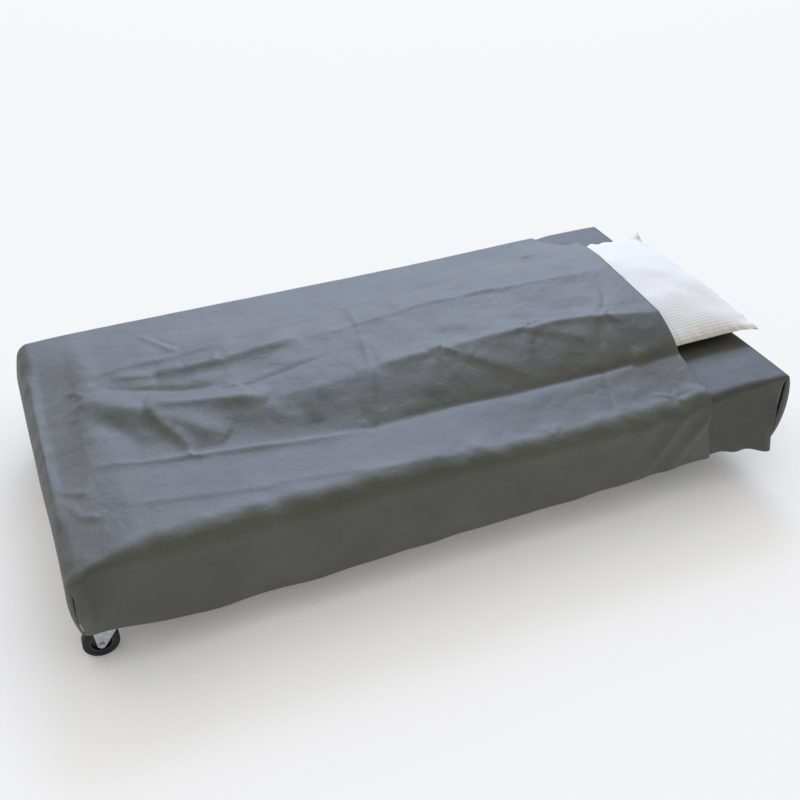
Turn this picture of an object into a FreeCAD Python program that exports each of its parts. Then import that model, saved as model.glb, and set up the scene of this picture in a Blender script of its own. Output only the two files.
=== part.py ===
"""Low roll-under bed on four swivel casters, made up with covers, a quilt, a blanket and a pillow.

Millimetres. +X runs to the head of the bed, +Y to its far side and +Z up. The origin is on the floor,
under the middle of everything that the bed carries. Every driving size is a cell of the sheet "Dims",
and every sub-part is bound to those cells or reads them.
"""
import FreeCAD, Part
import math
import os

import Sketcher
from FreeCAD import Rotation, Vector

DOC = FreeCAD.newDocument("RollawayBed")
SHEET = DOC.addObject("Spreadsheet::Sheet", "Dims")
SUBPARTS = []

DIMENSIONS = (
    ("mattress_length", 1950), ("mattress_width", 970), ("mattress_height", 172), ("mattress_corner", 35),
    ("ticking_thickness", 2), ("cloth", 1.5), ("clearance", 0.3), ("hem_height", 126),
    ("rail_height", 40), ("rail_width", 20), ("rail_wall", 1.5), ("rail_inset", 8), ("rail_side_gap", 7),
    ("slat_width", 60), ("slat_thickness", 8), ("slat_camber", 3), ("slat_half_length", 470),
    ("slat_count", 14), ("slat_pitch", 138), ("slat_cap_width", 66), ("slat_cap_floor", 2),
    ("slat_cap_wall", 2.5), ("slat_cap_inner", 446), ("slat_cap_outer", 480), ("slat_slot_end", 472),
    ("mid_member_x", -130), ("head_member_gap", 100), ("insert_depth", 18), ("end_plug_depth", 5),
    ("frame_bolt_diameter", 8), ("frame_bolt_reach", 40), ("frame_bolt_head", 4), ("frame_bolt_head_across", 13),
    ("caster_height", 120), ("mounting_plate", 4), ("mounting_plate_length", 120), ("mounting_plate_width", 96),
    ("foot_caster_x", -908), ("foot_caster_y", 430), ("head_caster_x", 705), ("head_caster_y", 250),
    ("plate_thickness", 3), ("plate_length", 84), ("plate_width", 60), ("plate_holes_x", 60),
    ("plate_holes_y", 40), ("plate_hole", 6.5), ("plate_corner", 6), ("skirt_outer", 54), ("skirt_wall", 2),
    ("skirt_depth", 7), ("plate_bolt", 6), ("plate_bolt_head", 3), ("plate_nut", 5), ("plate_nut_across", 10),
    ("kingpin_diameter", 10), ("kingpin_head", 18), ("kingpin_head_height", 3), ("running_gap", 0.05),
    ("ball_circle", 40), ("ball_count", 12), ("crown_top", 109), ("crown_thickness", 3), ("crown_diameter", 50),
    ("fork_width", 39), ("leg_thickness", 2.5), ("leg_end_radius", 11), ("leg_back", 52), ("leg_front", 22),
    ("trail", 35), ("wheel_diameter", 90), ("tread_width", 28), ("tyre_inner", 62), ("tyre_edge", 4),
    ("axle_diameter", 8), ("axle_head", 13), ("axle_head_height", 5), ("axle_end", 3), ("sleeve_diameter", 12),
    ("hub_boss", 24), ("hub_rim_inner", 50), ("hub_rim_width", 24), ("hub_web", 8),
    ("brake_pin_x", 46), ("brake_pin_z", 98), ("brake_pin_diameter", 6), ("brake_width", 31),
    ("brake_tread_width", 46),
    ("quilt_foot_end", -850), ("quilt_head_end", 600), ("quilt_near", -325), ("quilt_far", 340),
    ("blanket_head_edge", 770),
    ("pillow_length", 598), ("pillow_depth", 415), ("pillow_height", 115), ("pillow_overhang", 50),
    ("pillow_middle_y", 8), ("pillow_cloth", 2),
)

MATTRESS_END = "Dims.mattress_length / 2"
MATTRESS_SIDE = "Dims.mattress_width / 2"
RAIL_BOTTOM = "(Dims.caster_height + Dims.mounting_plate)"
RAIL_TOP = f"({RAIL_BOTTOM} + Dims.rail_height)"
RAIL_END = f"({MATTRESS_END} - Dims.rail_inset)"
RAIL_SIDE = f"({MATTRESS_SIDE} - Dims.rail_side_gap)"
SLAT_CAP_HEIGHT = "(Dims.slat_cap_floor + Dims.slat_thickness + Dims.slat_camber)"
DECK_TOP = f"({RAIL_TOP} + {SLAT_CAP_HEIGHT})"
MATTRESS_BOTTOM = f"({DECK_TOP} + Dims.clearance)"
MATTRESS_TOP = f"({MATTRESS_BOTTOM} + Dims.mattress_height)"
BASE_TOP = f"({MATTRESS_TOP} + Dims.clearance + Dims.cloth)"
BLANKET_LOW = f"({BASE_TOP} + Dims.clearance)"
COVER_STEP = "(Dims.cloth + Dims.clearance)"
BLANKET_END = f"({MATTRESS_END} + 2 * {COVER_STEP})"
BLANKET_SIDE = f"({MATTRESS_SIDE} + 2 * {COVER_STEP})"
PILLOW_HEAD = f"({MATTRESS_END} + {COVER_STEP} + Dims.pillow_overhang)"
BED_SHIFT = f"(({BLANKET_END} - {PILLOW_HEAD}) / 2)"
WHEEL_RADIUS = "(Dims.wheel_diameter / 2)"
PLATE_BOTTOM = "(Dims.caster_height - Dims.plate_thickness)"
CROWN_BOTTOM = "(Dims.crown_top - Dims.crown_thickness)"
FORK_INNER = "(Dims.fork_width / 2 - Dims.leg_thickness)"

CASTERS = {
    "near_foot": ("Dims.foot_caster_x", "-Dims.foot_caster_y"),
    "far_foot": ("Dims.foot_caster_x", "Dims.foot_caster_y"),
    "near_head": ("Dims.head_caster_x", "-Dims.head_caster_y"),
    "far_head": ("Dims.head_caster_x", "Dims.head_caster_y"),
}
BRAKED = ("near_head", "far_head")
CROSS_MEMBERS = {
    "cross_member_mid": "Dims.mid_member_x",
    "cross_member_head_inner": "Dims.head_caster_x - Dims.head_member_gap / 2",
    "cross_member_head_outer": "Dims.head_caster_x + Dims.head_member_gap / 2",
}

# Rise of the blanket over the quilt and pillow: how high its crest stands at each place along the bed,
# and how much of that height it has at each place across the bed.
CREST_ALONG = ((-850, 18), (-214, 60), (213, 90), (600, 116), (770, 118))
RISE_ACROSS = ((-330, 0.03), (-262, 0.66), (-160, 1.0), (176, 1.0), (280, 0.66), (345, 0.03))


def fill_sheet():
    """Writes each driving size to a cell of its own, with its name as the cell's alias."""
    for row, (name, size) in enumerate(DIMENSIONS, start=1):
        SHEET.set(f"A{row}", name)
        SHEET.set(f"B{row}", str(size))
        SHEET.setAlias(f"B{row}", name)
    DOC.recompute()


def value(expression):
    """The number that an expression of the sheet gives."""
    return float(SHEET.evalExpression(expression))


def place(item, x="0", y="0", z="0"):
    """Binds an object's place, counted from the middle of the bed on the floor."""
    item.setExpression("Placement.Base.x", f"{BED_SHIFT} + {x}")
    item.setExpression("Placement.Base.y", y)
    item.setExpression("Placement.Base.z", z)
    return item


def subpart(item, label):
    """Keeps an object as a sub-part that gets a file of its own."""
    item.Label = label
    SUBPARTS.append(item)
    return item


# ---------------------------------------------------------------- primitives

def block(name, low, size):
    """A box from its lowest corner and its size, all of them expressions."""
    solid = DOC.addObject("Part::Box", name)
    for side, expression in zip(("Length", "Width", "Height"), size):
        solid.setExpression(side, expression)
    return place(solid, *low)


def upright(name, diameter, height, x, y, z):
    """A vertical cylinder that starts at height z."""
    solid = DOC.addObject("Part::Cylinder", name)
    solid.setExpression("Radius", f"({diameter}) / 2")
    solid.setExpression("Height", height)
    return place(solid, x, y, z)


def crosswise(name, diameter, length, x, y, z):
    """A cylinder along the width of the bed that starts at y and runs to +Y."""
    solid = upright(name, diameter, length, x, y, z)
    solid.Placement.Rotation = Rotation(Vector(1, 0, 0), -90)
    return solid


def hexagon(name, across_flats, height, x, y, z, lying=False):
    """A hexagonal prism, standing, or lying along the width of the bed."""
    solid = DOC.addObject("Part::Prism", name)
    solid.Polygon = 6
    solid.setExpression("Circumradius", f"({across_flats}) / sqrt(3)")
    solid.setExpression("Height", height)
    place(solid, x, y, z)
    if lying:
        solid.Placement.Rotation = Rotation(Vector(1, 0, 0), -90)
    return solid


def combine(kind, name, first, second):
    """A boolean of two objects: kind is Cut, Fuse or Common."""
    result = DOC.addObject(f"Part::{kind}", name)
    result.Base = first
    result.Tool = second
    return result


def group(label, solids):
    """Identical pieces that share one node, each still a solid of its own."""
    compound = DOC.addObject("Part::Compound", label)
    compound.Links = solids
    return subpart(compound, label)


# ---------------------------------------------------------------- bodies and sketches

def new_body(label, x="0", y="0", z="0"):
    """A PartDesign body that is a sub-part."""
    body = DOC.addObject("PartDesign::Body", label)
    body.AllowCompound = True
    place(body, x, y, z)
    return subpart(body, label)


def origin_feature(body, role):
    """One of a body's own origin planes or axes."""
    return next(item for item in body.Origin.OriginFeatures if item.Role == role)


def new_sketch(body, role, offset="0"):
    """A sketch on one of the body's origin planes, moved along the plane's normal by offset."""
    sketch = body.newObject("Sketcher::SketchObject", f"{body.Name}_sketch")
    sketch.AttachmentSupport = [(origin_feature(body, role), "")]
    sketch.MapMode = "FlatFace"
    sketch.setExpression(".AttachmentOffset.Base.z", offset)
    return sketch


def bind_point(sketch, geometry, end, x, y):
    """Fixes one point of a sketch at expressions for its two coordinates."""
    across = (("DistanceX", x, -2), ("DistanceY", y, -1))
    for kind, expression, axis in across:
        size = value(expression)
        if abs(size) < 1e-9:
            sketch.addConstraint(Sketcher.Constraint("PointOnObject", geometry, end, axis))
            continue
        index = sketch.addConstraint(Sketcher.Constraint(kind, -1, 1, geometry, end, size))
        sketch.setExpression(f"Constraints[{index}]", expression)


def polygon(sketch, corners):
    """A closed outline with straight sides through corners, each a pair of expressions."""
    points = [Vector(value(x), value(y), 0) for x, y in corners]
    first = sketch.GeometryCount
    for start, end in zip(points, points[1:] + points[:1]):
        sketch.addGeometry(Part.LineSegment(start, end), False)
    count = len(points)
    for index in range(count):
        after = first + (index + 1) % count
        sketch.addConstraint(Sketcher.Constraint("Coincident", first + index, 2, after, 1))
    for index, (x, y) in enumerate(corners):
        bind_point(sketch, first + index, 1, x, y)


def circle(sketch, diameter, x="0", y="0"):
    """A circle in a sketch, by its diameter and centre."""
    radius = value(diameter) / 2
    round_line = Part.Circle(Vector(value(x), value(y), 0), Vector(0, 0, 1), radius)
    index = sketch.addGeometry(round_line, False)
    if value(x) == 0 and value(y) == 0:
        sketch.addConstraint(Sketcher.Constraint("Coincident", index, 3, -1, 1))
    else:
        bind_point(sketch, index, 3, x, y)
    bound = sketch.addConstraint(Sketcher.Constraint("Diameter", index, 2 * radius))
    sketch.setExpression(f"Constraints[{bound}]", diameter)


def pad(body, sketch, length, both_ways=False, backwards=False):
    """Adds a pad of a sketch to a body."""
    feature = body.newObject("PartDesign::Pad", f"{body.Name}_pad")
    feature.Profile = sketch
    feature.setExpression("Length", length)
    feature.Midplane = both_ways
    feature.Reversed = backwards
    return feature


def pocket(body, sketch, both_ways=False, backwards=False, length=None):
    """Cuts a sketch through a body and checks that it took material away."""
    before = body.Tip
    feature = body.newObject("PartDesign::Pocket", f"{body.Name}_pocket")
    feature.Profile = sketch
    if length is None:
        feature.Type = "ThroughAll"
    else:
        feature.setExpression("Length", length)
    feature.Midplane = both_ways
    feature.Reversed = backwards
    DOC.recompute()
    if feature.Shape.Volume >= before.Shape.Volume:
        raise RuntimeError(f"{body.Label}: the pocket cut nothing")
    return feature


def turned(body, outline):
    """A revolution of an outline of (radius, place along the width) about the body's Y axis."""
    sketch = new_sketch(body, "XY_Plane")
    polygon(sketch, outline)
    feature = body.newObject("PartDesign::Revolution", f"{body.Name}_turned")
    feature.Profile = sketch
    feature.ReferenceAxis = (sketch, ["V_Axis"])
    feature.Angle = 360
    return feature


def repeat_along_bed(body, features, pitch, count):
    """A straight row of the same features along the bed."""
    pattern = body.newObject("PartDesign::LinearPattern", f"{body.Name}_row")
    pattern.Originals = features
    pattern.Direction = (origin_feature(body, "X_Axis"), [""])
    pattern.setExpression("Length", f"{pitch} * ({count} - 1)")
    pattern.setExpression("Occurrences", count)
    body.Tip = pattern
    return pattern


def round_edges(body, base, radius, wanted):
    """Fillets those edges of a feature for which wanted(edge) is true."""
    DOC.recompute()
    edges = [f"Edge{number}" for number, edge in enumerate(base.Shape.Edges, start=1) if wanted(edge)]
    feature = body.newObject("PartDesign::Fillet", f"{body.Name}_fillet")
    feature.Base = (base, edges)
    feature.setExpression("Radius", radius)
    return feature


def is_vertical(edge):
    """True for a straight edge along Z."""
    ends = [vertex.Point for vertex in edge.Vertexes]
    return len(ends) == 2 and (ends[0] - ends[1]).cross(Vector(0, 0, 1)).Length < 1e-6


# ---------------------------------------------------------------- frame and deck

def tube(label, low, size, along):
    """A rectangular steel tube, hollow from end to end along X or Y."""
    outer = block(f"{label}_outer", low, size)
    inner_low = [f"{low[0]}", f"{low[1]}", f"{low[2]} + Dims.rail_wall"]
    inner_size = [size[0], size[1], f"{size[2]} - 2 * Dims.rail_wall"]
    side = 1 - "xy".index(along)
    inner_low[side] += " + Dims.rail_wall"
    inner_size[side] += " - 2 * Dims.rail_wall"
    inner = block(f"{label}_inner", inner_low, inner_size)
    return subpart(combine("Cut", label, outer, inner), label)


def side_rail(label, low_y):
    """One long rail under the edge of the deck."""
    low = (f"-{RAIL_END}", low_y, RAIL_BOTTOM)
    tube(label, low, (f"2 * {RAIL_END}", "Dims.rail_width", "Dims.rail_height"), "x")


def cross_rail(label, middle_x):
    """A rail across the bed, between the side rails."""
    half = f"({RAIL_SIDE} - Dims.rail_width - Dims.clearance)"
    low = (f"{middle_x} - Dims.rail_width / 2", f"-{half}", RAIL_BOTTOM)
    tube(label, low, ("Dims.rail_width", f"2 * {half}", "Dims.rail_height"), "y")


def cross_rail_places():
    """Middle of every rail that runs across, by name."""
    end = f"({RAIL_END} - Dims.rail_width / 2)"
    places = {"head_rail": end, "foot_rail": f"-{end}"}
    places.update(CROSS_MEMBERS)
    return places


def rails():
    """The two side rails and the five rails between them."""
    side_rail("side_rail_near", f"-{RAIL_SIDE}")
    side_rail("side_rail_far", f"{RAIL_SIDE} - Dims.rail_width")
    for label, middle in cross_rail_places().items():
        cross_rail(label, middle)


def rail_end_caps():
    """Plastic plugs that close the four open ends of the side rails."""
    plugs = []
    for end in ("-1", "1"):
        for side in ("-1", "1"):
            low = (f"{end} * ({RAIL_END} - Dims.end_plug_depth / 2) - Dims.end_plug_depth / 2",
                   f"{side} * ({RAIL_SIDE} - Dims.rail_width / 2) - Dims.rail_width / 2"
                   " + Dims.rail_wall + Dims.running_gap",
                   f"{RAIL_BOTTOM} + Dims.rail_wall + Dims.running_gap")
            size = ("Dims.end_plug_depth",
                    "Dims.rail_width - 2 * Dims.rail_wall - 2 * Dims.running_gap",
                    "Dims.rail_height - 2 * Dims.rail_wall - 2 * Dims.running_gap")
            plugs.append(block(f"rail_plug_{len(plugs)}", low, size))
    group("rail_end_caps", plugs)


def frame_joints():
    """A threaded insert in each end of each cross rail, and the bolt through the side rail into it."""
    inserts, bolts = [], []
    half = f"({RAIL_SIDE} - Dims.rail_width - Dims.clearance)"
    height = f"{RAIL_BOTTOM} + Dims.rail_height / 2"
    bore = "Dims.frame_bolt_diameter + 2 * Dims.running_gap"
    for label, middle in cross_rail_places().items():
        for side in (-1, 1):
            name = f"{label}_{'near' if side < 0 else 'far'}"
            low_y = f"-{half}" if side < 0 else f"{half} - Dims.insert_depth"
            gap = "Dims.rail_wall + Dims.running_gap"
            low = (f"{middle} - Dims.rail_width / 2 + {gap}", low_y, f"{RAIL_BOTTOM} + {gap}")
            size = (f"Dims.rail_width - 2 * ({gap})", "Dims.insert_depth", f"Dims.rail_height - 2 * ({gap})")
            plug = block(f"{name}_plug", low, size)
            hole = crosswise(f"{name}_bore", bore, "Dims.insert_depth", middle, low_y, height)
            inserts.append(combine("Cut", f"{name}_insert", plug, hole))
            start = f"-{RAIL_SIDE}" if side < 0 else f"{RAIL_SIDE} - Dims.frame_bolt_reach"
            shank = crosswise(f"{name}_shank", "Dims.frame_bolt_diameter", "Dims.frame_bolt_reach",
                              middle, start, height)
            head_y = f"-{RAIL_SIDE} - Dims.frame_bolt_head" if side < 0 else RAIL_SIDE
            head = hexagon(f"{name}_head", "Dims.frame_bolt_head_across", "Dims.frame_bolt_head",
                           middle, head_y, height, lying=True)
            bolts.append(combine("Fuse", f"{name}_bolt", shank, head))
    group("rail_end_inserts", inserts)
    group("frame_bolts", bolts)
    drill_side_rails(bore, height)


def drill_side_rails(bore, height):
    """Cuts the bolt holes in the two side rails."""
    for label in ("side_rail_near", "side_rail_far"):
        rail = next(item for item in SUBPARTS if item.Label == label)
        start = f"-{RAIL_SIDE}" if "near" in label else f"{RAIL_SIDE} - Dims.rail_width"
        holes = [crosswise(f"{label}_hole_{name}", bore, "Dims.rail_width", middle, start, height)
                 for name, middle in cross_rail_places().items()]
        drill = DOC.addObject("Part::Compound", f"{label}_drill")
        drill.Links = holes
        SUBPARTS.remove(rail)
        rail.Label = f"{label}_blank"
        subpart(combine("Cut", f"{label}_drilled", rail, drill), label)


def slats():
    """Sprung wooden slats, bowed upwards, in a row along the bed."""
    start_x = "-Dims.slat_pitch * (Dims.slat_count - 1) / 2 - Dims.slat_width / 2"
    body = new_body("slats", start_x, "0", f"{RAIL_TOP} + Dims.slat_cap_floor")
    sketch = new_sketch(body, "YZ_Plane")
    end = value("Dims.slat_half_length")
    thick = value("Dims.slat_thickness")
    rise = value("Dims.slat_camber")
    low = (Vector(-end, 0, 0), Vector(0, rise, 0), Vector(end, 0, 0))
    high = (Vector(end, thick, 0), Vector(0, thick + rise, 0), Vector(-end, thick, 0))
    sketch.addGeometry(Part.Arc(*low), False)
    sketch.addGeometry(Part.LineSegment(low[2], high[0]), False)
    sketch.addGeometry(Part.Arc(*high), False)
    sketch.addGeometry(Part.LineSegment(high[2], low[0]), False)
    row = pad(body, sketch, "Dims.slat_width")
    DOC.recompute()
    repeat_along_bed(body, [row], "Dims.slat_pitch", "Dims.slat_count")


def slat_caps():
    """Plastic caps on the side rails that hold the ends of the slats."""
    start_x = "-Dims.slat_pitch * (Dims.slat_count - 1) / 2 - Dims.slat_cap_width / 2"
    body = new_body("slat_caps", start_x, "0", RAIL_TOP)
    sketch = new_sketch(body, "YZ_Plane")
    slot_low = "Dims.slat_cap_floor - 0.3"
    slot_high = f"{SLAT_CAP_HEIGHT} - Dims.slat_cap_wall"
    for side in ("-1", "1"):
        inner, outer, stop = (f"{side} * Dims.slat_{name}" for name in ("cap_inner", "cap_outer", "slot_end"))
        polygon(sketch, ((inner, "0"), (outer, "0"), (outer, SLAT_CAP_HEIGHT), (inner, SLAT_CAP_HEIGHT),
                         (inner, slot_high), (stop, slot_high), (stop, slot_low), (inner, slot_low)))
    row = pad(body, sketch, "Dims.slat_cap_width")
    DOC.recompute()
    repeat_along_bed(body, [row], "Dims.slat_pitch", "Dims.slat_count")


# ---------------------------------------------------------------- casters

def hole_places(x, y):
    """The four corners of a caster plate's hole pattern about a swivel axis."""
    for along in ("-1", "1"):
        for across in ("-1", "1"):
            yield (f"{x} + {along} * Dims.plate_holes_x / 2", f"{y} + {across} * Dims.plate_holes_y / 2")


def mounting_plates():
    """Steel plates welded under the rails, one for each caster, drilled for it."""
    plates = []
    for name, (x, y) in CASTERS.items():
        low = mounting_plate_corner(name, x, y)
        size = ("Dims.mounting_plate_length", "Dims.mounting_plate_width", "Dims.mounting_plate")
        holes = DOC.addObject("Part::Compound", f"mount_holes_{name}")
        holes.Links = [upright(f"mount_hole_{name}_{index}", "Dims.plate_hole", "Dims.mounting_plate",
                               hole_x, hole_y, "Dims.caster_height")
                       for index, (hole_x, hole_y) in enumerate(hole_places(x, y))]
        blank = block(f"mount_blank_{name}", low, size)
        plates.append(combine("Cut", f"mount_{name}", blank, holes))
    group("caster_mounting_plates", plates)


def mounting_plate_corner(name, x, y):
    """Lowest corner of a mounting plate: in the frame's corner at the foot, centred further up the bed."""
    if name.endswith("head"):
        return (f"{x} - Dims.mounting_plate_length / 2", f"{y} - Dims.mounting_plate_width / 2",
                "Dims.caster_height")
    side = f"-{RAIL_SIDE}" if name.startswith("near") else f"{RAIL_SIDE} - Dims.mounting_plate_width"
    return (f"-{RAIL_END}", side, "Dims.caster_height")


def caster_fasteners():
    """The bolts that hold the caster plates, heads below and nuts above."""
    bolts, nuts = [], []
    stack = "Dims.plate_thickness + Dims.mounting_plate"
    nut_z = f"{RAIL_BOTTOM}"
    for name, (x, y) in CASTERS.items():
        for index, (hole_x, hole_y) in enumerate(hole_places(x, y)):
            tag = f"{name}_{index}"
            shank = upright(f"shank_{tag}", "Dims.plate_bolt", f"{stack} + Dims.plate_nut + 2",
                            hole_x, hole_y, PLATE_BOTTOM)
            head = hexagon(f"bolt_head_{tag}", "Dims.plate_nut_across", "Dims.plate_bolt_head",
                           hole_x, hole_y, f"{PLATE_BOTTOM} - Dims.plate_bolt_head")
            bolts.append(combine("Fuse", f"plate_bolt_{tag}", shank, head))
            blank = hexagon(f"nut_blank_{tag}", "Dims.plate_nut_across", "Dims.plate_nut", hole_x, hole_y, nut_z)
            thread = upright(f"nut_thread_{tag}", "Dims.plate_bolt + 2 * Dims.running_gap", "Dims.plate_nut",
                             hole_x, hole_y, nut_z)
            nuts.append(combine("Cut", f"plate_nut_{tag}", blank, thread))
    group("caster_bolts", bolts)
    group("caster_nuts", nuts)


def caster_plate(name, x, y):
    """Top plate of a caster with its four holes and the pressed skirt round the ball race."""
    body = new_body(f"caster_plate_{name}", x, y, PLATE_BOTTOM)
    outline = new_sketch(body, "XY_Plane")
    half_x, half_y = "Dims.plate_length / 2", "Dims.plate_width / 2"
    polygon(outline, ((f"-{half_x}", f"-{half_y}"), (half_x, f"-{half_y}"),
                      (half_x, half_y), (f"-{half_x}", half_y)))
    plate = pad(body, outline, "Dims.plate_thickness")
    rounded = round_edges(body, plate, "Dims.plate_corner", is_vertical)
    DOC.recompute()
    skirt_sketch = new_sketch(body, "XY_Plane")
    circle(skirt_sketch, "Dims.skirt_outer")
    circle(skirt_sketch, "Dims.skirt_outer - 2 * Dims.skirt_wall")
    skirt = pad(body, skirt_sketch, "Dims.skirt_depth", backwards=True)
    DOC.recompute()
    holes = new_sketch(body, "XY_Plane", "Dims.plate_thickness")
    circle(holes, "Dims.kingpin_diameter")
    for hole_x, hole_y in hole_places("0", "0"):
        circle(holes, "Dims.plate_hole", hole_x, hole_y)
    if rounded.Shape.Volume >= plate.Shape.Volume or skirt.Shape.Volume <= rounded.Shape.Volume:
        raise RuntimeError(f"{body.Label}: the corners or the skirt are missing")
    pocket(body, holes)


def kingpins():
    """The riveted pins that the forks swivel on."""
    pins = []
    head_low = f"{CROWN_BOTTOM} - Dims.running_gap - Dims.kingpin_head_height"
    for name, (x, y) in CASTERS.items():
        shaft = upright(f"pin_shaft_{name}", "Dims.kingpin_diameter", f"Dims.caster_height - ({head_low})",
                        x, y, head_low)
        head = upright(f"pin_head_{name}", "Dims.kingpin_head", "Dims.kingpin_head_height", x, y, head_low)
        pins.append(combine("Fuse", f"kingpin_{name}", shaft, head))
    group("caster_kingpins", pins)


def swivel_balls():
    """A ring of balls between each top plate and its fork."""
    balls = []
    count = int(value("Dims.ball_count"))
    middle_z = f"(Dims.crown_top + {PLATE_BOTTOM}) / 2"
    for name, (x, y) in CASTERS.items():
        for index in range(count):
            ball = DOC.addObject("Part::Sphere", f"ball_{name}_{index}")
            ball.setExpression("Radius", f"({PLATE_BOTTOM} - Dims.crown_top) / 2 - Dims.running_gap")
            turn = f"{index} * 360 deg / Dims.ball_count"
            balls.append(place(ball, f"{x} + Dims.ball_circle / 2 * cos({turn})",
                               f"{y} + Dims.ball_circle / 2 * sin({turn})", middle_z))
    group("swivel_balls", balls)


def touch_point(corner, centre, radius, side):
    """Where the line from a corner touches a circle; side is 1 for the left of that line, -1 for the right."""
    reach = centre - corner
    swing = math.asin(radius / reach.Length) * side
    length = math.sqrt(reach.Length ** 2 - radius ** 2)
    direction = Rotation(Vector(0, 0, 1), math.degrees(swing)).multVec(reach.normalize())
    return corner + direction * length


def leg_outline(sketch):
    """Side view of a fork: a wide top that narrows to a round end about the axle."""
    top = "Dims.crown_top"
    back, front = Vector(-value("Dims.leg_back"), value(top), 0), Vector(value("Dims.leg_front"), value(top), 0)
    axle = Vector(-value("Dims.trail"), value(WHEEL_RADIUS), 0)
    radius = value("Dims.leg_end_radius")
    front_touch = touch_point(front, Vector(axle), radius, 1)
    back_touch = touch_point(back, Vector(axle), radius, -1)
    lowest = axle + Vector(radius * 0.5, -radius * math.sqrt(0.75), 0)
    sketch.addGeometry(Part.LineSegment(back, front), False)
    sketch.addGeometry(Part.LineSegment(front, front_touch), False)
    sketch.addGeometry(Part.Arc(front_touch, lowest, back_touch), False)
    sketch.addGeometry(Part.LineSegment(back_touch, back), False)
    bind_point(sketch, 0, 1, "-Dims.leg_back", top)
    bind_point(sketch, 0, 2, "Dims.leg_front", top)


def fork(name, x, y):
    """Pressed steel fork: two legs and a crown, one U-shaped piece."""
    body = new_body(f"fork_{name}", x, y)
    legs = new_sketch(body, "XZ_Plane")
    leg_outline(legs)
    block_pad = pad(body, legs, "Dims.fork_width", both_ways=True)
    crown_sketch = new_sketch(body, "XY_Plane", CROWN_BOTTOM)
    circle(crown_sketch, "Dims.crown_diameter")
    crown = pad(body, crown_sketch, "Dims.crown_thickness")
    DOC.recompute()
    if crown.Shape.Volume <= block_pad.Shape.Volume:
        raise RuntimeError(f"{body.Label}: the crown added nothing")
    channel = new_sketch(body, "YZ_Plane")
    polygon(channel, ((f"-{FORK_INNER}", "0"), (FORK_INNER, "0"),
                      (FORK_INNER, CROWN_BOTTOM), (f"-{FORK_INNER}", CROWN_BOTTOM)))
    pocket(body, channel, both_ways=True)
    crown_hole = new_sketch(body, "XY_Plane", "Dims.crown_top")
    circle(crown_hole, "Dims.kingpin_diameter + 2 * Dims.running_gap")
    pocket(body, crown_hole)
    axle_hole = new_sketch(body, "XZ_Plane")
    circle(axle_hole, "Dims.axle_diameter", "-Dims.trail", WHEEL_RADIUS)
    if name in BRAKED:
        circle(axle_hole, "Dims.brake_pin_diameter", "-Dims.brake_pin_x", "Dims.brake_pin_z")
    pocket(body, axle_hole, both_ways=True)


def axle(name, x, y):
    """Axle bolt through the fork, with its head on the near side and its nut on the far side."""
    centre_x, half = f"{x} - Dims.trail", "Dims.fork_width / 2"
    reach = "Dims.fork_width + Dims.axle_head_height + Dims.axle_end"
    shank = crosswise(f"axle_shank_{name}", "Dims.axle_diameter", reach, centre_x, f"{y} - {half}", WHEEL_RADIUS)
    head = hexagon(f"axle_head_{name}", "Dims.axle_head", "Dims.axle_head_height",
                   centre_x, f"{y} - {half} - Dims.axle_head_height", WHEEL_RADIUS, lying=True)
    bolt = combine("Fuse", f"axle_bolt_{name}", shank, head)
    nut = hexagon(f"axle_nut_blank_{name}", "Dims.axle_head", "Dims.axle_head_height",
                  centre_x, f"{y} + {half}", WHEEL_RADIUS, lying=True)
    thread = crosswise(f"axle_nut_thread_{name}", "Dims.axle_diameter + 2 * Dims.running_gap",
                       "Dims.axle_head_height", centre_x, f"{y} + {half}", WHEEL_RADIUS)
    group(f"axle_{name}", [bolt, combine("Cut", f"axle_nut_{name}", nut, thread)])


def at_wheel(label, x, y):
    """A body with its origin at the centre of a wheel."""
    return new_body(label, f"{x} - Dims.trail", y, WHEEL_RADIUS)


def sleeve(name, x, y):
    """Steel sleeve on the axle that the hub turns on."""
    inner, outer = "Dims.axle_diameter / 2 + Dims.running_gap", "Dims.sleeve_diameter / 2"
    turned(at_wheel(f"axle_sleeve_{name}", x, y),
           ((inner, f"-{FORK_INNER}"), (outer, f"-{FORK_INNER}"), (outer, FORK_INNER), (inner, FORK_INNER)))


def wheel_hub(name, x, y):
    """Moulded hub: a boss on the sleeve, a thin web and a rim under the tyre."""
    bore = "Dims.sleeve_diameter / 2 + Dims.running_gap"
    boss, rim, seat = "Dims.hub_boss / 2", "Dims.hub_rim_inner / 2", "Dims.tyre_inner / 2"
    face, web, side = f"({FORK_INNER} - Dims.clearance)", "Dims.hub_web / 2", "Dims.hub_rim_width / 2"
    half = ((bore, face), (boss, face), (boss, web), (rim, web), (rim, side), (seat, side))
    other = tuple((radius, f"-({place_y})") for radius, place_y in reversed(half))
    turned(at_wheel(f"wheel_hub_{name}", x, y), half + other)


def tyre(name, x, y):
    """Solid rubber tyre with rounded edges."""
    seat, tread = "Dims.tyre_inner / 2", WHEEL_RADIUS
    rim, side = "Dims.hub_rim_width / 2", "Dims.tread_width / 2"
    shoulder = f"({seat} + 3)"
    half = ((seat, rim), (shoulder, side), (tread, side))
    other = tuple((radius, f"-({place_y})") for radius, place_y in reversed(half))
    body = at_wheel(f"tyre_{name}", x, y)
    ring = turned(body, half + other)
    radius = value(tread)
    round_edges(body, ring, "Dims.tyre_edge",
                lambda edge: hasattr(edge.Curve, "Radius") and abs(edge.Curve.Radius - radius) < 1e-6)


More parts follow.
